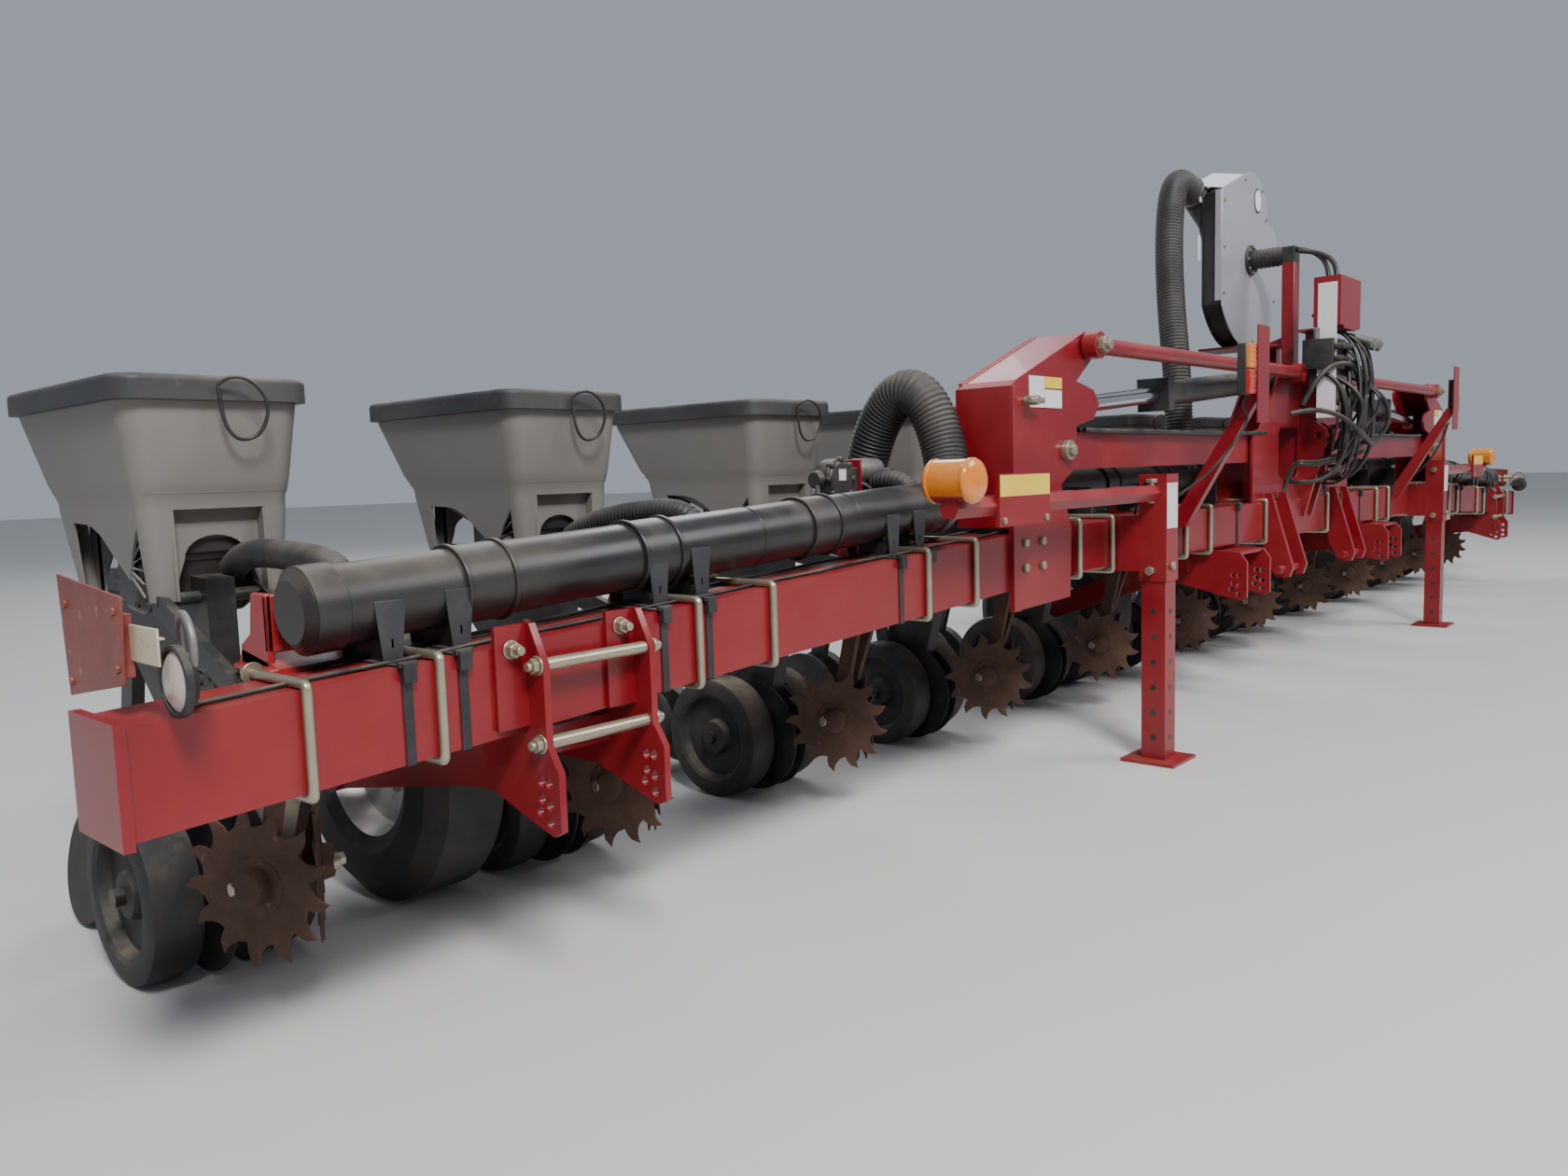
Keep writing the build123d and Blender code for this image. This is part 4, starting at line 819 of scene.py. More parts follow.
# Control box and valve block: a blank white panel on the box's left face, silver couplings under
# it, a black valve body below, and the bundle of hydraulic hoses between block, mast and bar.
box_low, box_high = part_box("control_box")
face_x, face_back = box_low[0] * 1000, box_low[1] * 1000 - BAR_FRONT
foot_up, head_up = box_low[2] * 1000, box_high[2] * 1000
panel = bmesh.new()
plate(panel, (face_x - 2.2, face_back + 14, foot_up + 30), (face_x - 0.2, face_back + 100, head_up - 30))
fit("control_box_white_panel", panel, blank_white, "centre_frame", edge=0.0006)
block = bmesh.new()
plate(block, (-250, -190, 1500), (-60, -50, 1640))
plate(block, (-210, -170, 1400), (-110, -70, 1500))
plate(block, (90, -170, 1460), (230, -60, 1560))
VALVES, VALVE_STEP = 5, 38
for step in range(VALVES):
    x = -230 + step * VALVE_STEP
    round_bar(block, (x, -190, 1600), (x, -236, 1600), 15)
    round_bar(block, (x, -190, 1545), (x, -222, 1545), 13, sides=6)
plate(block, (-60, 40, 1300), (20, 64, 1520))
fit("valve_block", block, black_paint, "centre_frame", edge=0.003)
fittings = bmesh.new()
for step in range(6):
    x = -236 + step * 34
    round_bar(fittings, (x, -110, 1640), (x, -110, 1676), 13)
    round_bar(fittings, (x, -110, 1676), (x, -110, 1692), 16, sides=6)
    round_bar(fittings, (x, -150, 1500), (x, -150, 1476), 14, sides=6)
COUPLINGS = ((60, 1660), (104, 1648), (150, 1660), (190, 1650))
for x, up in COUPLINGS:
    round_bar(fittings, (x, -200, up), (x, -260, up - 26), 21, 17)
    round_bar(fittings, (x, -260, up - 26), (x, -282, up - 36), 25, sides=18)
fit("hydraulic_couplings", fittings, dull_steel, "centre_frame", edge=0.0015)
random.seed(7)
HOSES, THICK_HOSES = 22, 13
THICK_RADIUS, THIN_RADIUS, LOOP_RADIUS = 10, 6.5, 12
runs = []
for number in range(HOSES):
    x = -236 + (number * 41) % 470
    out = random.uniform(20, 120)
    low = random.uniform(1040, 1330)
    drift = random.uniform(-160, 160)
    start_up = random.choice((1480, 1560, 1640, 1690))
    end_x = random.uniform(-330, 330)
    end_back = random.choice((-30, 20, 60, 110))
    runs.append([(x, -130, start_up), (x + 8, -180, start_up - 10),
                 (x + drift * 0.4, -185 - out, start_up - 90), (x + drift, -195 - out, low + 90),
                 (x + drift * 0.7, -165 - out * 0.6, low - 40), (end_x, -110, low - 110),
                 (end_x, end_back, low - 60), (end_x, end_back + 30, BAR_TOP + 90),
                 (end_x * 1.1, end_back + 40, BAR_TOP + 14)])
for name, bundle, radius in (("hydraulic_hose_bundle", runs[:THICK_HOSES], THICK_RADIUS),
                             ("thin_hydraulic_lines", runs[THICK_HOSES:], THIN_RADIUS)):
    bent_bars(name, bundle, radius, cable_rubber, "centre_frame", order=4)
bent_bars("hoses_over_the_block",
          [[(-330, -80, 1330), (-300, -150, 1500), (-200, -240, 1540), (-60, -260, 1480), (60, -230, 1260),
            (200, -190, 1150), (330, -60, 1110)],
           [(-430, -60, 1290), (-350, -200, 1330), (-210, -300, 1200), (0, -310, 1130), (150, -260, 1140),
            (260, -120, 1200), (380, -40, 1320)],
           [(-120, -60, 1760), (-160, -160, 1830), (-150, -190, 1960), (-90, -120, 2060), (-20, 40, 2096)],
           [(-80, -60, 1760), (-120, -120, 1850), (-100, -140, 1980), (-60, -60, 2080), (0, 60, 2110)]],
          LOOP_RADIUS, cable_rubber, "centre_frame", order=4)

# Hoses to the folds: three hydraulic hoses lie side by side along the top of each lift arm, and
# fold with it.
HOSE_LANES, LANE_STEP = 3, 24
ARM_HOSE = ((560, 0, 1206), (700, 3, 1200), (1100, -4, 1198), (1700, 5, 1201), (2200, 0, 1199),
            (2330, 10, 1204))
for side, sign in HANDS:
    runs = [[(sign * x, 8 + lane * LANE_STEP + sway, up) for x, sway, up in ARM_HOSE]
            for lane in range(HOSE_LANES)]
    bent_bars(f"{side}_fold_hoses", runs, 9, cable_rubber, f"{side}_lift_arm")

# Seed drive: a black round gearbox with a blank white plate, bolted with its bearing canister to a
# red bracket at the third row from the end, and fed by hoses, one with a yellowed zinc fitting.
DRIVE_X, DRIVE_BACK, DRIVE_UP = 3348, 330, 1062
COVER_BOLTS, COVER_CIRCLE = 8, 58
DRIVE_HOSES = (  # outwards, behind and above the gearbox's middle
    ((-286, 0, 21), (-330, 0, 20), (-350, -6, -20), (-340, -60, -90), (-320, -130, -160)),
    ((-96, 0, -10), (-130, -36, -14), (-146, -60, -70), (-120, -90, -150)),
    ((80, -10, -20), (120, -50, -60), (190, -80, -90), (260, -110, -150)),
)
CANISTER = ((106, 112, 30, 38), (112, 218, 38, 38), (218, 228, 38, 28), (228, 236, 28, 14))
for side, sign in HANDS:
    body = f"{side}_wing"
    x, back, up = sign * DRIVE_X, DRIVE_BACK, DRIVE_UP
    gearbox = bmesh.new()
    round_bar(gearbox, (x, back - 34, up), (x, back + 20, up), 62, sides=40)
    round_bar(gearbox, (x, back - 42, up), (x, back - 34, up), 50, 58, sides=40)
    for turn in range(COVER_BOLTS):
        a = math.tau * turn / COVER_BOLTS
        bolt_x, bolt_up = x + COVER_CIRCLE * math.cos(a), up + COVER_CIRCLE * math.sin(a)
        round_bar(gearbox, (bolt_x, back - 44, bolt_up), (bolt_x, back - 20, bolt_up), 9, sides=12)
    plate(gearbox, (x - sign * 50, back - 26, up - 40), (x - sign * 98, back + 16, up + 34))
    round_bar(gearbox, (x + sign * 62, back, up), (x + sign * 84, back, up), 30, 24, sides=24)
    fit(f"{side}_seed_drive_gearbox", gearbox, black_paint, body, edge=0.003)
    label = bmesh.new()
    plate(label, (x - 18, back - 43, up - 4), (x + 16, back - 44.5, up + 30))
    fit(f"{side}_seed_drive_plate", label, blank_white, body, edge=0.0005)
    bracket = bmesh.new()
    plate(bracket, (x - sign * 98, back - 34, up - 62), (x - sign * 106, back + 36, up + 58))
    plate(bracket, (x - sign * 40, back + 20, up - 64), (x - sign * 180, back + 28, up + 56))
    plate(bracket, (x - sign * 120, back + 4, up - 200), (x - sign * 160, back + 16, up + 20))
    fit(f"{side}_seed_drive_bracket", bracket, red_paint, body, edge=0.002)
    canister = bmesh.new()
    for start, stop, near, far in CANISTER:
        round_bar(canister, (x - sign * start, back, up + 24), (x - sign * stop, back, up + 24),
                  near, far, sides=36)
    fit(f"{side}_seed_drive_canister", canister, dull_steel, body, edge=0.001)
    fitting = bmesh.new()
    round_bar(fitting, (x - sign * 236, back, up + 24), (x - sign * 262, back, up + 22), 14, sides=6)
    round_bar(fitting, (x - sign * 262, back, up + 22), (x - sign * 286, back, up + 21), 10)
    fit(f"{side}_seed_drive_fitting", fitting, zinc, body, edge=0.001)
    bent_bars(f"{side}_seed_drive_hoses",
              [[(x + sign * out, back + behind, up + lift) for out, behind, lift in run]
               for run in DRIVE_HOSES], 8, cable_rubber, body)

# Seed meters: black moulded housings that close the space under each bin's funnel, seen through
# the skirt's arches and side windows.
METER_BACK, METER_UP, HOPPER_SHIFT = 830, 900, 15
COVER_SCREWS, SCREW_CIRCLE = 6, 60
METER_COVERS = ((-100, -132, 82, 62), (92, 128, 92, 70))
for body in GROUP_BODIES.values():
    meters = bmesh.new()
    for row in rows_on(body):
        x = row + HOPPER_SHIFT
        plate(meters, (x - 118, 672, 846), (x + 118, 1000, 868))
        plate(meters, (x - 96, 720, 866), (x + 92, 960, 985))
        plate(meters, (x - 70, 700, 950), (x + 66, 930, 1030))
        for start, stop, near, far in METER_COVERS:
            round_bar(meters, (x + start, METER_BACK, METER_UP), (x + stop, METER_BACK, METER_UP),
                      near, far, sides=36)
        for step in range(COVER_SCREWS):
            a = math.tau * step / COVER_SCREWS
            back, up = METER_BACK + SCREW_CIRCLE * math.cos(a), METER_UP + SCREW_CIRCLE * math.sin(a)
            round_bar(meters, (x - 112, back, up), (x - 134, back, up), 9, sides=12)
    fit(f"{body}_meter_housings", meters, black_plastic, body, edge=0.006)

# Hoppers: each bin is a hollow moulding with a sloping floor and funnel. Its skirt stands on the
# unit's rails, with a recessed arched panel at front and rear and a cut-out window in each side.
SOLID_PLANES = {
    "side": lambda u, v, w: at(w, u, v),
    "front": lambda u, v, w: at(u, w, v),
    "top": lambda u, v, w: at(u, v, w),
}


def cut_sheet(shape, outline, plane, low, high, holes=(), slots=()):
    """Adds a flat part cut to the outline, with round holes and closed slots, between two depths."""
    curve = bpy.data.curves.new("cut", "CURVE")
    curve.dimensions = "2D"
    curve.fill_mode = "BOTH"
    curve.extrude = 0.5
    loops = [outline, *slots]
    for u, v, radius in holes:
        loops.append([(u + radius * math.cos(math.tau * k / 20), v + radius * math.sin(math.tau * k / 20))
                      for k in range(20)])
    for loop in loops:
        spline = curve.splines.new("POLY")
        spline.points.add(len(loop) - 1)
        for point, (u, v) in zip(spline.points, loop):
            point.co = (u, v, 0, 1)
        spline.use_cyclic_u = True
    pattern = bpy.data.objects.new("cut", curve)
    mesh = bpy.data.meshes.new_from_object(pattern)
    for vert in mesh.vertices:
        depth = low if vert.co.z < 0 else high
        vert.co = SOLID_PLANES[plane](vert.co.x, vert.co.y, depth)
    added = bmesh.new()
    added.from_mesh(mesh)
    bmesh.ops.remove_doubles(added, verts=added.verts, dist=1e-6)
    bmesh.ops.recalc_face_normals(added, faces=added.faces)
    added.to_mesh(mesh)
    added.free()
    shape.from_mesh(mesh)
    bpy.data.objects.remove(pattern)
    bpy.data.curves.remove(curve)
    bpy.data.meshes.remove(mesh)


def rounded_loop(half, front, rear, corner, steps=6):
    """Places round a rectangle with rounded corners, seen from above."""
    middles = ((half - corner, rear - corner, 0), (corner - half, rear - corner, 90),
               (corner - half, front + corner, 180), (half - corner, front + corner, 270))
    return [(u + corner * math.cos(math.radians(start + 90 * k / steps)),
             v + corner * math.sin(math.radians(start + 90 * k / steps)))
            for u, v, start in middles for k in range(steps + 1)]


def loft(shape, rings, close_loop=False, caps=()):
    """Skins a row of rings with equal counts of places, each given with its height."""
    loops = [[shape.verts.new(at(u, v, up)) for u, v in ring] for up, ring in rings]
    pairs = list(zip(loops, loops[1:])) + ([(loops[-1], loops[0])] if close_loop else [])
    for upper, lower in pairs:
        for k in range(len(upper)):
            following = (k + 1) % len(upper)
            shape.faces.new((upper[k], upper[following], lower[following], lower[k]))
    for index in caps:
        shape.faces.new(loops[index])


grey_hopper = weathered("grey moulded hopper", (0.150, 0.140, 0.128), (0.215, 0.205, 0.19),
                        (0.27, 0.25, 0.22), 0.46, patch=1.6, dust=0.30, chips=0.12, grain_size=650,
                        relief=0.10)
BIN_WALL = 6
BIN_RINGS = (  # height, half width, front, rear, corner radius
    (1272, 186, 622, 1322, 50), (1262, 185, 623, 1318, 50), (1110, 166, 640, 1222, 44),
    (1084, 162, 646, 1196, 42), (1070, 158, 652, 1184, 40), (1040, 156, 653, 1176, 36),
    (857, 139, 660, 1128, 30),
)
shell = bmesh.new()
outer = [(up, rounded_loop(half, front, rear, corner)) for up, half, front, rear, corner in BIN_RINGS]
inner = [(up, rounded_loop(half - BIN_WALL, front + BIN_WALL, rear - BIN_WALL, corner - BIN_WALL))
         for up, half, front, rear, corner in reversed(BIN_RINGS)]
loft(shell, outer + inner, close_loop=True)
bmesh.ops.recalc_face_normals(shell, faces=shell.faces)
openings = bmesh.new()
SIDE_WINDOW = ((694, 840), (690, 1012), (735, 965), (778, 900), (850, 950), (905, 993), (950, 1012),
               (985, 1018), (1074, 1022), (1084, 900), (1084, 840))
cut_sheet(openings, SIDE_WINDOW, "side", -230, 230)
for low, high in ((600, 700), (1060, 1230)):
    cut_sheet(openings, ((-96, 840), (96, 840), (96, 1048), (-96, 1048)), "front", low, high)
blank = bpy.data.objects.new("blank", bpy.data.meshes.new("blank"))
shell.to_mesh(blank.data)
shell.free()
tool = bpy.data.objects.new("tool", bpy.data.meshes.new("tool"))
openings.to_mesh(tool.data)
openings.free()
for helper in (blank, tool):
    bpy.context.scene.collection.objects.link(helper)
cutting = blank.modifiers.new("cut", "BOOLEAN")
cutting.object = tool
cutting.solver = "EXACT"
bpy.context.view_layer.update()
moulding = bmesh.new()
moulding.from_mesh(blank.evaluated_get(bpy.context.evaluated_depsgraph_get()).to_mesh())
for helper in (blank, tool):
    bpy.data.objects.remove(helper)
ARCH_HALF, ARCH_FOOT, ARCH_RISE = 66, 942, 49
ARCH = [(-90, 857), (-86, 885), (-ARCH_HALF, ARCH_FOOT)]
ARCH += [(ARCH_HALF * math.cos(math.radians(a)), ARCH_FOOT + ARCH_RISE * math.sin(math.radians(a)))
         for a in range(165, 0, -15)]
ARCH += [(ARCH_HALF, ARCH_FOOT), (86, 885), (90, 857)]
RECESS_HALF, SKIRT_FOOT, RECESS_TOP = 98, 857, 1054
FRONT_PANEL, REAR_PANEL = (684, 690, 654, 690), (1100, 1106, 1100, 1150)  # face, then its side walls
for face_low, face_high, wall_low, wall_high in (FRONT_PANEL, REAR_PANEL):
    cut_sheet(moulding, [(RECESS_HALF, SKIRT_FOOT), (RECESS_HALF, RECESS_TOP), (-RECESS_HALF, RECESS_TOP),
                         (-RECESS_HALF, SKIRT_FOOT)] + ARCH, "front", face_low, face_high)
    for x in (-RECESS_HALF, RECESS_HALF - BIN_WALL):
        plate(moulding, (x, wall_low, SKIRT_FOOT), (x + BIN_WALL, wall_high, RECESS_TOP))
    plate(moulding, (-RECESS_HALF, wall_low, RECESS_TOP - BIN_WALL), (RECESS_HALF, wall_high, RECESS_TOP))
funnel = ((1082, 160, 646, 1200, 40), (1072, 150, 660, 1170, 36), (905, 60, 735, 850, 16),
          (884, 40, 745, 825, 12))
funnel_rings = [(up, rounded_loop(half, front, rear, corner)) for up, half, front, rear, corner in funnel]
inner_rings = [(up + 5, rounded_loop(half - 5, front + 5, rear - 5, corner - 4))
               for up, half, front, rear, corner in reversed(funnel)]
loft(moulding, funnel_rings + inner_rings, close_loop=True)
HINGE_EAR = ((1312, 1196), (1316, 1262), (1340, 1297), (1364, 1297), (1364, 1272), (1330, 1196))
for x in (-52, 44):
    cut_sheet(moulding, HINGE_EAR, "side", x, x + 8)
round_bar(moulding, (-54, 1352, 1285), (54, 1352, 1285), 5)
SKIRT_RIBS = 5
for rib in range(SKIRT_RIBS):
    slant = ((696, 868 + rib * 28), (702, 868 + rib * 28), (764 - rib * 4, 906 + rib * 10),
             (760 - rib * 4, 910 + rib * 10))
    for inner in (-146, 142):
        cut_sheet(moulding, slant, "side", inner, inner + 4)
one_hopper = bpy.data.meshes.new("one_hopper")
bmesh.ops.recalc_face_normals(moulding, faces=moulding.faces)
moulding.to_mesh(one_hopper)
moulding.free()
for group, body in GROUP_BODIES.items():
    bins = bmesh.new()
    for row in rows_on(body):
        start = len(bins.verts)
        bins.from_mesh(one_hopper)
        bins.verts.ensure_lookup_table()
        bmesh.ops.translate(bins, verts=bins.verts[start:], vec=((row + HOPPER_SHIFT) / 1000, 0, 0))
    hoppers = fit(f"{group}_hopper_mouldings", bins, grey_hopper, body, edge=0.0025)
    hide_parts(f"{group}_hoppers")

# Pipe fittings: a tapered end cap and slip couplings with raised rims on each pipe, dark bands, and
# folded sheet saddles whose feet the cable ties hold down on the bar.
PIPE_BACK, PIPE_LIFT = 130, 115
CENTRE_PIPE_BACK, CENTRE_PIPE_UP = 260, 999.8
COUPLING_RADIUS, RIM_RADIUS, RIM_LENGTH, BAND_RADIUS = 80, 85, 10, 77.5


def sleeve(shape, x, length, radius, back, up_at, sign, far_radius=None):
    """Adds a sleeve round a pipe that follows its slope, starting at x and leading inwards."""
    round_bar(shape, (sign * x, back, up_at(x)), (sign * (x - length), back, up_at(x - length)),
              radius, far_radius, sides=48)


def coupling(shape, x, length, back, up_at, sign):
    """Adds a slip coupling with a raised rim at each end."""
    sleeve(shape, x, length, COUPLING_RADIUS, back, up_at, sign)
    for rim in (x + 4, x - length + 6):
        sleeve(shape, rim, RIM_LENGTH, RIM_RADIUS, back, up_at, sign)


def wing_pipe_up(x):
    """How high the middle of the wing's pipe is at this distance out."""
    return BAR_TOP - droop(x) + PIPE_LIFT


saddle_sheet = weathered("dark grey saddle sheet", (0.030, 0.031, 0.035), (0.060, 0.060, 0.064),
                         (0.10, 0.07, 0.05), 0.40, metal=0.2, patch=9.0, dust=0.3, chips=0.25, relief=0.05)
WING_COUPLINGS = ((4800, 110), (4343, 110), (3755, 110))
WING_BANDS = (4700, 3950, 3560, 3200)
WING_SADDLES = (4970, 4825, 4309, 4177, 3416, 3288)
SADDLE_FRONT, SADDLE_REAR, SADDLE_HALF = 52, 206, 19
CLAMP_X = 3101
for side, sign in HANDS:
    fittings = bmesh.new()
    sleeve(fittings, 5122, 16, 58, PIPE_BACK, wing_pipe_up, sign, COUPLING_RADIUS)
    sleeve(fittings, 5106, 62, 82, PIPE_BACK, wing_pipe_up, sign)
    for x, length in WING_COUPLINGS:
        coupling(fittings, x, length, PIPE_BACK, wing_pipe_up, sign)
    for x in WING_BANDS:
        sleeve(fittings, x, 5, BAND_RADIUS, PIPE_BACK, wing_pipe_up, sign)
    fit(f"{side}_wing_pipe_couplings", fittings, black_plastic, f"{side}_wing", edge=0.002)
    saddles = bmesh.new()
    for x in WING_SADDLES:
        top = BAR_TOP - droop(x)
        low, high = sign * x - SADDLE_HALF, sign * x + SADDLE_HALF
        for back in (SADDLE_FRONT, SADDLE_REAR - 4):
            cut_sheet(saddles, ((low, top + 1), (high, top + 1), (high + 12, top + 118),
                                (low - 12, top + 118)), "front", back, back + 4)
        cut_sheet(saddles, ((low, SADDLE_FRONT - 12), (high, SADDLE_FRONT - 12), (high, SADDLE_REAR),
                            (low, SADDLE_REAR)), "top", top + 0.6, top + 4)
        cut_sheet(saddles, ((SADDLE_FRONT, top + 30), (SADDLE_REAR, top + 30), (SADDLE_REAR, top + 48),
                            (SADDLE_FRONT, top + 48)), "side", sign * x - 3, sign * x + 3)
    clamp = bmesh.new()
    sleeve(clamp, CLAMP_X + 7, 14, 84, PIPE_BACK, wing_pipe_up, sign)
    sleeve(clamp, CLAMP_X - 11, 10, 82, PIPE_BACK, wing_pipe_up, sign)
    top = wing_pipe_up(CLAMP_X - 1) + 84
    round_bar(clamp, (sign * CLAMP_X, PIPE_BACK - 30, top), (sign * CLAMP_X, PIPE_BACK + 24, top), 7)
    fit(f"{side}_wing_hose_clamp", clamp, dull_steel, f"{side}_wing", edge=0.001)
    fit(f"{side}_pipe_saddles", saddles, saddle_sheet, f"{side}_wing", edge=0.001)
CENTRE_COUPLINGS = ((1805, 110), (1305, 110), (2292, 60), (812, 60))
fittings = bmesh.new()
for sign in (-1, 1):
    for x, length in CENTRE_COUPLINGS:
        coupling(fittings, x, length, CENTRE_PIPE_BACK, lambda _x: CENTRE_PIPE_UP, sign)
fit("centre_pipe_couplings", fittings, black_plastic, "centre_frame", edge=0.002)

# Wheel brackets: S shaped plates flame-cut from 16 mm steel with adjusting holes. On the wings they
# have a flange on the bar and zinc cross rods, and on the centre a slotted shelf under the bar.
BRACKET_HOLES = ((-62, 105), (-38, 105), (-62, 150), (-30, 165), (-62, 185), (-38, 140))
BRACKET_SHEET = 16
WING_EDGE = ((0, 32, 1), (-22, 30, 1), (-62, -50, 1), (-62, -32, 0), (-95, -82, 0))
CENTRE_EDGE = ((178, 0, 0), (0, 0, 0), (-120, -8, 0), (-150, -50, 0), (-150, -90, 0))
CENTRE_BRACKET_X, WING_WHEEL_X, CENTRE_WHEEL_X, TYRE_WIDTH = 1080, 4500, 915, 235
AXLE_BACK, AXLE_UP = 905, 370
SLOT_RADIUS, SLOT_HALF, SLOT_BACK = 11, 19, -60
ROD_BACK, ROD_RADIUS = -45, 13
ROD_ENDS = ((0, 4, 20, 20), (4, 17, 16, 6), (17, 27, 9, 20))  # washer, nut and thread
for side, sign, on_wing in (("right", -1, True), ("right", -1, False), ("left", 1, False), ("left", 1, True)):
    place, body = (f"{side}_wing", f"{side}_wing") if on_wing else (f"{side}_centre", "centre_frame")
    plates = bmesh.new()
    middle = sign * (BRACKET_X if on_wing else CENTRE_BRACKET_X)
    top, low = BAR_TOP - droop(middle), BAR_FOOT - droop(middle)
    edge = [(b, (top if from_top else low) + u) for b, u, from_top in (WING_EDGE if on_wing else CENTRE_EDGE)]
    nose = edge[-1][0]
    outline = edge + [(nose, low - 200), (nose + 25, low - 212), (130, low - 150), (260, low - 150),
                      (260, low - 12)]
    outline += [(0, low - 12)] if on_wing else [(178, low - 12)]
    shift = 0 if on_wing else -55
    for hand in (-1, 1):
        x = middle + hand * HALF_GAP
        cut_sheet(plates, outline, "side", x - BRACKET_SHEET / 2, x + BRACKET_SHEET / 2,
                  holes=[(b + shift, low - u, 11) for b, u in BRACKET_HOLES])
        if on_wing:
            flange = x + sign * FLANGE_OFFSET
            cut_sheet(plates, ((flange - 36, low + 4), (flange + 36, low + 4), (flange + 36, top + 30),
                               (flange - 36, top + 30)), "front", -11, -1)
    if not on_wing:
        turns = [math.tau * k / 12 for k in range(12)]
        slots = [[(middle + slot_x + SLOT_RADIUS * math.cos(a),
                   SLOT_BACK + math.copysign(SLOT_HALF, math.sin(a + 0.01)) + SLOT_RADIUS * math.sin(a))
                  for a in turns] for slot_x in (-45, 45)]
        cut_sheet(plates, ((middle - 129, -119), (middle + 129, -119), (middle + 129, -1),
                           (middle - 129, -1)), "top", low - 20, low - 8, slots=slots)
    plate(plates, (middle - 197, 80, low - 90), (middle + 197, 160, low - 30))
    wheel_x = WING_WHEEL_X if on_wing else CENTRE_WHEEL_X
    arm_x = sign * (wheel_x + TYRE_WIDTH / 2 + 45)
    cut_sheet(plates, ((90, low - 30), (300, low - 60), (AXLE_BACK, 420), (945, 400), (955, AXLE_UP),
                       (940, 340), (AXLE_BACK, 320), (300, low - 176), (90, low - 150)),
              "side", arm_x - 25, arm_x + 25, holes=((240, low - 108, 42),))
    round_bar(plates, (arm_x, AXLE_BACK, AXLE_UP), (arm_x - sign * 178, AXLE_BACK, AXLE_UP), 30, sides=32)
    round_bar(plates, (arm_x - 33, AXLE_BACK, AXLE_UP), (arm_x + 33, AXLE_BACK, AXLE_UP), 56, sides=36)
    bracket = fit(f"{place}_bracket_plates", plates, red_paint, body, edge=0.0025)
    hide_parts(f"{side}_wheel_bracket" if on_wing else "centre_wheel_brackets")
    if on_wing:
        rods = bmesh.new()
        for up in (top - 51, low - 29):
            inside = HALF_GAP - BRACKET_SHEET / 2
            round_bar(rods, (middle - inside, ROD_BACK, up), (middle + inside, ROD_BACK, up), ROD_RADIUS,
                      sides=28)
            for hand in (-1, 1):
                start = middle + hand * (HALF_GAP + BRACKET_SHEET / 2)
                for near, far, radius, sides in ROD_ENDS:
                    round_bar(rods, (start + hand * near, ROD_BACK, up), (start + hand * far, ROD_BACK, up),
                              radius, sides=sides)
        fit(f"{place}_bracket_cross_rods", rods, zinc, body)

# Row cleaners: pairs of hooked discs stamped from spring steel, toed in ahead of each opener, on
# bearing hubs and carrier arms from the head.
rusty_steel = weathered("rusty disc steel", (0.050, 0.022, 0.013), (0.115, 0.055, 0.032),
                        (0.20, 0.15, 0.11), 0.62, metal=0.3, patch=11.0, dust=0.35, chips=0.5,
                        grain_size=240, relief=0.3)
CLEANER_TEETH, CLEANER_REACH, CLEANER_SHEET = 13, 168, 5
CLEANER_OUT, CLEANER_BACK, CLEANER_STAGGER, TOE_IN = 72, 420, 20, math.radians(28)
HOOK = (  # share of the disc's radius, share of the way to the next tooth
    (0.72, 0.0), (0.80, 0.03), (0.90, 0.14), (1.0, 0.38), (0.93, 0.40), (0.86, 0.45), (0.79, 0.56),
    (0.745, 0.70),
)
HUB_STEPS = ((-30, 0, 34, 34), (5, 9, 62, 58), (9, 32, 40, 34), (32, 36, 34, 20))


def hooked_disc(shape, centre, axle):
    """Adds one disc with its hooked teeth and the hub on its axle."""
    up_axis = Vector((0, 0, 1))
    along = axle.cross(up_axis)
    faces = []
    for offset in (0, CLEANER_SHEET):
        loop = []
        for tooth in range(CLEANER_TEETH):
            for share, step in HOOK:
                a = math.tau * (tooth + step) / CLEANER_TEETH
                reach = share * CLEANER_REACH * (math.cos(a) * up_axis + math.sin(a) * along)
                loop.append(shape.verts.new(at(*(centre + axle * offset + reach))))
        faces.append(loop)
    for k in range(len(faces[0])):
        following = (k + 1) % len(faces[0])
        shape.faces.new((faces[0][k], faces[0][following], faces[1][following], faces[1][k]))
    for loop in faces:
        shape.faces.new(loop)
    for start, stop, near, far in HUB_STEPS:
        round_bar(shape, centre + axle * start, centre + axle * stop, near, far, sides=32)


for group, body in GROUP_BODIES.items():
    discs = bmesh.new()
    for row in rows_on(body):
        sag = droop(row)
        for hand in (-1, 1):
            centre = Vector((row + hand * CLEANER_OUT, CLEANER_BACK + hand * CLEANER_STAGGER, CLEANER_UP))
            hooked_disc(discs, centre, Vector((hand * math.cos(TOE_IN), -math.sin(TOE_IN), 0)))
            arm = ((300, 697 - sag), (355, 697 - sag), (centre.y + 40, CLEANER_UP), (centre.y + 10, 268),
                   (centre.y - 22, 278), (centre.y - 14, 330))
            cut_sheet(discs, arm, "side", row + hand * 42 - 10, row + hand * 42 + 10)
    bmesh.ops.recalc_face_normals(discs, faces=discs.faces)
    cleaners = fit(f"{group}_hooked_cleaners", discs, rusty_steel, body, edge=0.001)
    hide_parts(f"{group}_row_cleaners")

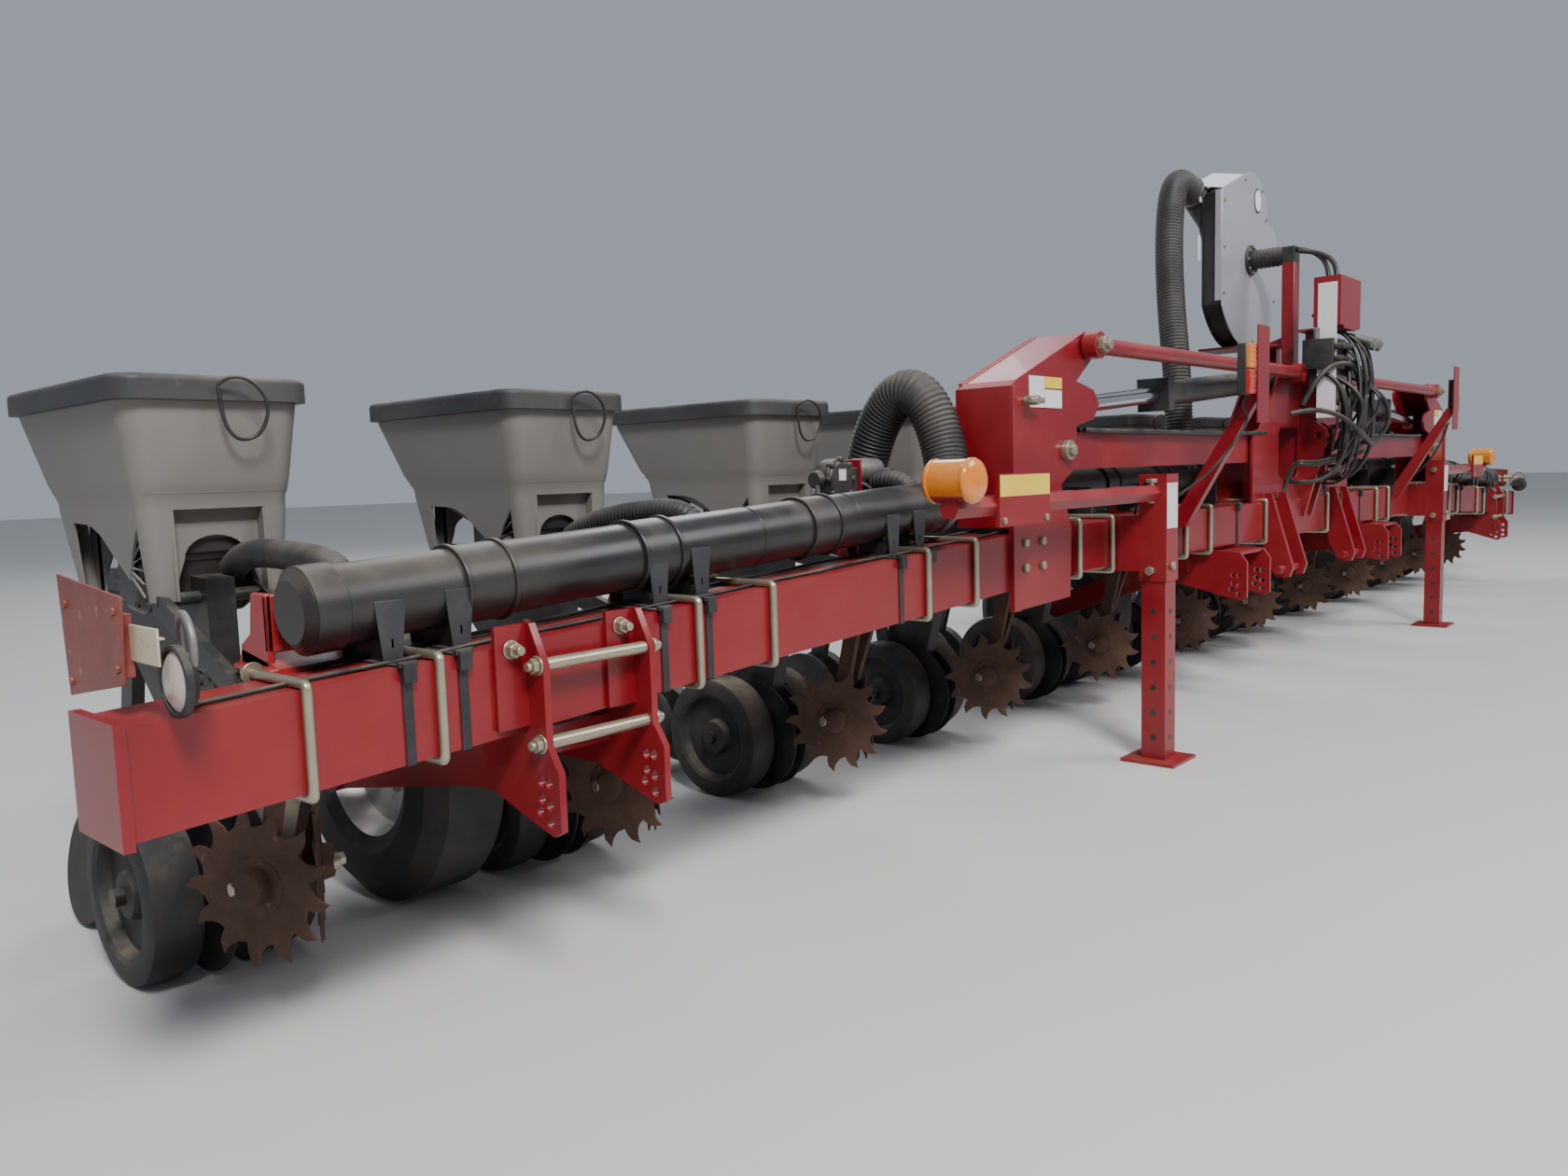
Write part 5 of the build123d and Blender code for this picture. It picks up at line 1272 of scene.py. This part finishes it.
# Gauge wheels: moulded nylon discs, dished on both sides round a hub, with a domed rubber tyre. A
# pair runs beside each opener and sets its depth.
GAUGE_SECTION = (  # distance along the axle from the middle of the tyre, radius
    (-57, 150), (-57, 184), (-50, 198), (-30, 202.6), (0, 203), (30, 202.6), (50, 198), (57, 184),
    (57, 150), (50, 140), (22, 132), (16, 60), (40, 52), (44, 21), (-44, 21), (-40, 52), (-16, 60),
    (-22, 132), (-50, 140),
)
GAUGE_BACK, GAUGE_UP, GAUGE_OFFSET = 860, 203, 128
TURNS = 48


def turned(shape, section, x, back, up):
    """Turns a closed section round an axle that lies across the machine."""
    first = previous = None
    for turn in range(TURNS + 1):
        if turn == TURNS:
            ring = first
        else:
            a = math.tau * turn / TURNS
            ring = [shape.verts.new(at(x + u, back + r * math.cos(a), up + r * math.sin(a)))
                    for u, r in section]
        if previous:
            for k in range(len(ring)):
                following = (k + 1) % len(ring)
                shape.faces.new((previous[k], previous[following], ring[following], ring[k]))
        first = first or ring
        previous = ring


for group, body in GROUP_BODIES.items():
    tyres = bmesh.new()
    for row in rows_on(body):
        for hand in (-1, 1):
            turned(tyres, GAUGE_SECTION, row + hand * GAUGE_OFFSET, GAUGE_BACK, GAUGE_UP)
    bmesh.ops.recalc_face_normals(tyres, faces=tyres.faces)
    gauge_wheels = fit(f"{group}_gauge_wheel_mouldings", tyres, tyre_rubber, f"{group}_gauge_wheels",
                       edge=0)
    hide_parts(f"{group}_gauge_wheels")

# Fan housing: a bare galvanised front plate over a black scroll, a black inlet cone turned to the
# hose, and a black hydraulic motor on a bolt flange, carried by a red post.
galvanised = weathered("galvanised sheet", (0.40, 0.39, 0.44), (0.56, 0.55, 0.60), (0.22, 0.20, 0.20),
                       0.36, metal=0.45, patch=1.7, dust=0.25, chips=0.1, grain_size=90, relief=0.04)


def arc_through(start, middle, end, steps=12):
    """Places along the circle through three places, without the last one."""
    (ax, ay), (bx, by), (cx, cy) = start, middle, end
    d = 2 * (ax * (by - cy) + bx * (cy - ay) + cx * (ay - by))
    a_far, b_far, c_far = ax * ax + ay * ay, bx * bx + by * by, cx * cx + cy * cy
    ux = (a_far * (by - cy) + b_far * (cy - ay) + c_far * (ay - by)) / d
    uy = (a_far * (cx - bx) + b_far * (ax - cx) + c_far * (bx - ax)) / d
    angles = [math.atan2(y - uy, x - ux) for x, y in (start, middle, end)]
    sweep = (angles[2] - angles[0]) % math.tau
    if (angles[1] - angles[0]) % math.tau > sweep:
        sweep -= math.tau
    radius = math.hypot(ax - ux, ay - uy)
    turns = [angles[0] + sweep * k / steps for k in range(steps)]
    return [(ux + radius * math.cos(a), uy + radius * math.sin(a)) for a in turns]


def fan_outline(inset):
    """The scroll's outline seen from the front, drawn in by the inset."""
    line = [(-355 + inset, 1845), (-355 + inset, 2392 - inset)]
    line += arc_through((-60, 2502 - inset), (190 - inset, 2482 - inset), (268 - inset, 2316))
    line += arc_through((268 - inset, 2316), (470 - inset, 2140), (400 - inset, 1890))
    line += arc_through((400 - inset, 1890), (240 - inset, 1738 + inset), (30, 1650 + inset))
    line += arc_through((30, 1650 + inset), (-225 + inset, 1712 + inset), (-355 + inset, 1845))
    return line


SCROLL_FRONT, SCROLL_REAR = 300, 395
front_plate = bmesh.new()
cut_sheet(front_plate, fan_outline(0), "front", SHEET_FRONT, SCROLL_FRONT)
cut_sheet(front_plate, ((-355, 1860), (-349, 1860), (-349, 2388), (-355, 2388)), "front", SCROLL_FRONT, 330)
fan_plate = fit("fan_front_plate", front_plate, galvanised, "centre_frame", edge=0.0015)
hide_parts("vacuum_fan")
scroll = bmesh.new()
cut_sheet(scroll, fan_outline(12), "front", SCROLL_FRONT, SCROLL_REAR)
cut_sheet(scroll, fan_outline(2), "front", SCROLL_REAR - 7, SCROLL_REAR)
CONE_SIDES, CONE_FOOT, CONE_MOUTH, CONE_FLARE = 40, 215, 68, 0.8
foot_centre, mouth = Vector((-120, SCROLL_REAR, 2180)), Vector((-298, 442, 2375))
aim = Vector((-0.80, 0.20, 0.55)).normalized()
cone_rings = []
for share in (0.0, 0.25, 0.5, 0.75, 1.0):
    ring = []
    for k in range(CONE_SIDES):
        a = math.tau * k / CONE_SIDES
        local = Vector((math.cos(a), 0, math.sin(a)))
        rim = mouth + CONE_MOUTH * (local - aim * local.dot(aim)).normalized()
        ring.append((foot_centre + CONE_FOOT * local).lerp(rim, share ** CONE_FLARE))
    cone_rings.append([scroll.verts.new(at(*p)) for p in ring])
for near, far in zip(cone_rings, cone_rings[1:]):
    for k in range(CONE_SIDES):
        following = (k + 1) % CONE_SIDES
        scroll.faces.new((near[k], near[following], far[following], far[k]))
scroll.faces.new(cone_rings[0])
scroll.faces.new(cone_rings[-1])
bmesh.ops.recalc_face_normals(scroll, faces=scroll.faces)
fit("fan_scroll_and_cone", scroll, black_plastic, "centre_frame", edge=0.003)
motor = bmesh.new()
MOTOR_BANDS, BAND_STEP = 6, 20
POST_FRONT, POST_REAR, POST_TOP = 64, 124, 2051
round_bar(motor, (MOTOR_X, SHEET_FRONT, MOTOR_UP), (MOTOR_X, 280, MOTOR_UP), 75, sides=40)
round_bar(motor, (MOTOR_X, 280, MOTOR_UP), (MOTOR_X, POST_REAR, MOTOR_UP), 45, sides=36)
for step in range(MOTOR_BANDS):
    start = 262 - step * BAND_STEP
    round_bar(motor, (MOTOR_X, start, MOTOR_UP), (MOTOR_X, start - 6, MOTOR_UP), 49, sides=36)
plate(motor, (MOTOR_X - 38, POST_FRONT, MOTOR_UP - 38), (MOTOR_X + 38, POST_REAR, MOTOR_UP + 38))
fit("fan_motor", motor, black_paint, "centre_frame", edge=0.002)
post = bmesh.new()
plate(post, (MOTOR_X - 40, POST_FRONT, 1310), (MOTOR_X + 40, POST_REAR, POST_TOP))
plate(post, (-80, POST_REAR, 1636), (80, SCROLL_FRONT, 1648))
cut_sheet(post, ((POST_FRONT, 1700), (POST_REAR, 1700), (290, 1648), (POST_FRONT, 1648)), "side", 56, 62)
fit("fan_post", post, red_paint, "centre_frame", edge=0.003)

# Tower roofs: a folded red sheet slopes up over each fold tower, with a flange on its outer edge
# and a side sheet down to the bar.
TOWER_DEPTH, ROOF_SHEET, ROOF_END = 190, 8, 2380
SIDE_SHEET = ((-12, 890), (TOWER_DEPTH, 890), (TOWER_DEPTH, 1336), (-12, 1336))
for side, sign in HANDS:
    roof = bmesh.new()
    slope = ((2845, 1352), (ROOF_END, 1532), (ROOF_END, 1532 - ROOF_SHEET), (2845, 1352 - ROOF_SHEET))
    flange = ((2875, 1335), (2845, 1355), (2845, 1347), (2869, 1331))
    for sheet in (slope, flange):
        cut_sheet(roof, [(sign * x, up) for x, up in sheet], "front", 0, TOWER_DEPTH)
    cut_sheet(roof, SIDE_SHEET, "side", sign * 2875.4, sign * 2878)
    cut_sheet(roof, [(sign * x, up) for x, up in ((2875, 625), (2831, 625), (2831, 1335), (2875, 1335))],
              "front", -18, -12)
    round_bar(roof, (sign * 2850, TOWER_DEPTH, 1351), (sign * ROOF_END, TOWER_DEPTH, 1531), 6, sides=10)
    fit(f"{side}_tower_roof", roof, red_paint, f"{side}_wing", edge=0.002)

# Raised cheeks of the wing rows' heads: bright red castings that stand up behind the vacuum pipe,
# joined by a cross plate and a cap over the bar.
CHEEK = ((218, 2), (218, 140), (278, 140), (293, 62), (335, 38), (335, 2))  # back, above the bar
CHEEK_OFFSET, CHEEK_HALF = 88.5, 6.5
for side in SIDES:
    body = f"{side}_wing"
    cheeks = bmesh.new()
    for row in rows_on(body):
        top = BAR_TOP - droop(row)
        for hand in (-1, 1):
            x = row + hand * CHEEK_OFFSET
            cut_sheet(cheeks, [(back, top + up) for back, up in CHEEK], "side",
                      x - CHEEK_HALF, x + CHEEK_HALF)
        plate(cheeks, (row - 95, 218, top + 30), (row + 95, 231, top + 138))
        plate(cheeks, (row - 112, 180, top - 6), (row + 112, 335, top + 6))
    fit(f"{side}_head_cheeks", cheeks, red_cast, body, edge=0.004)
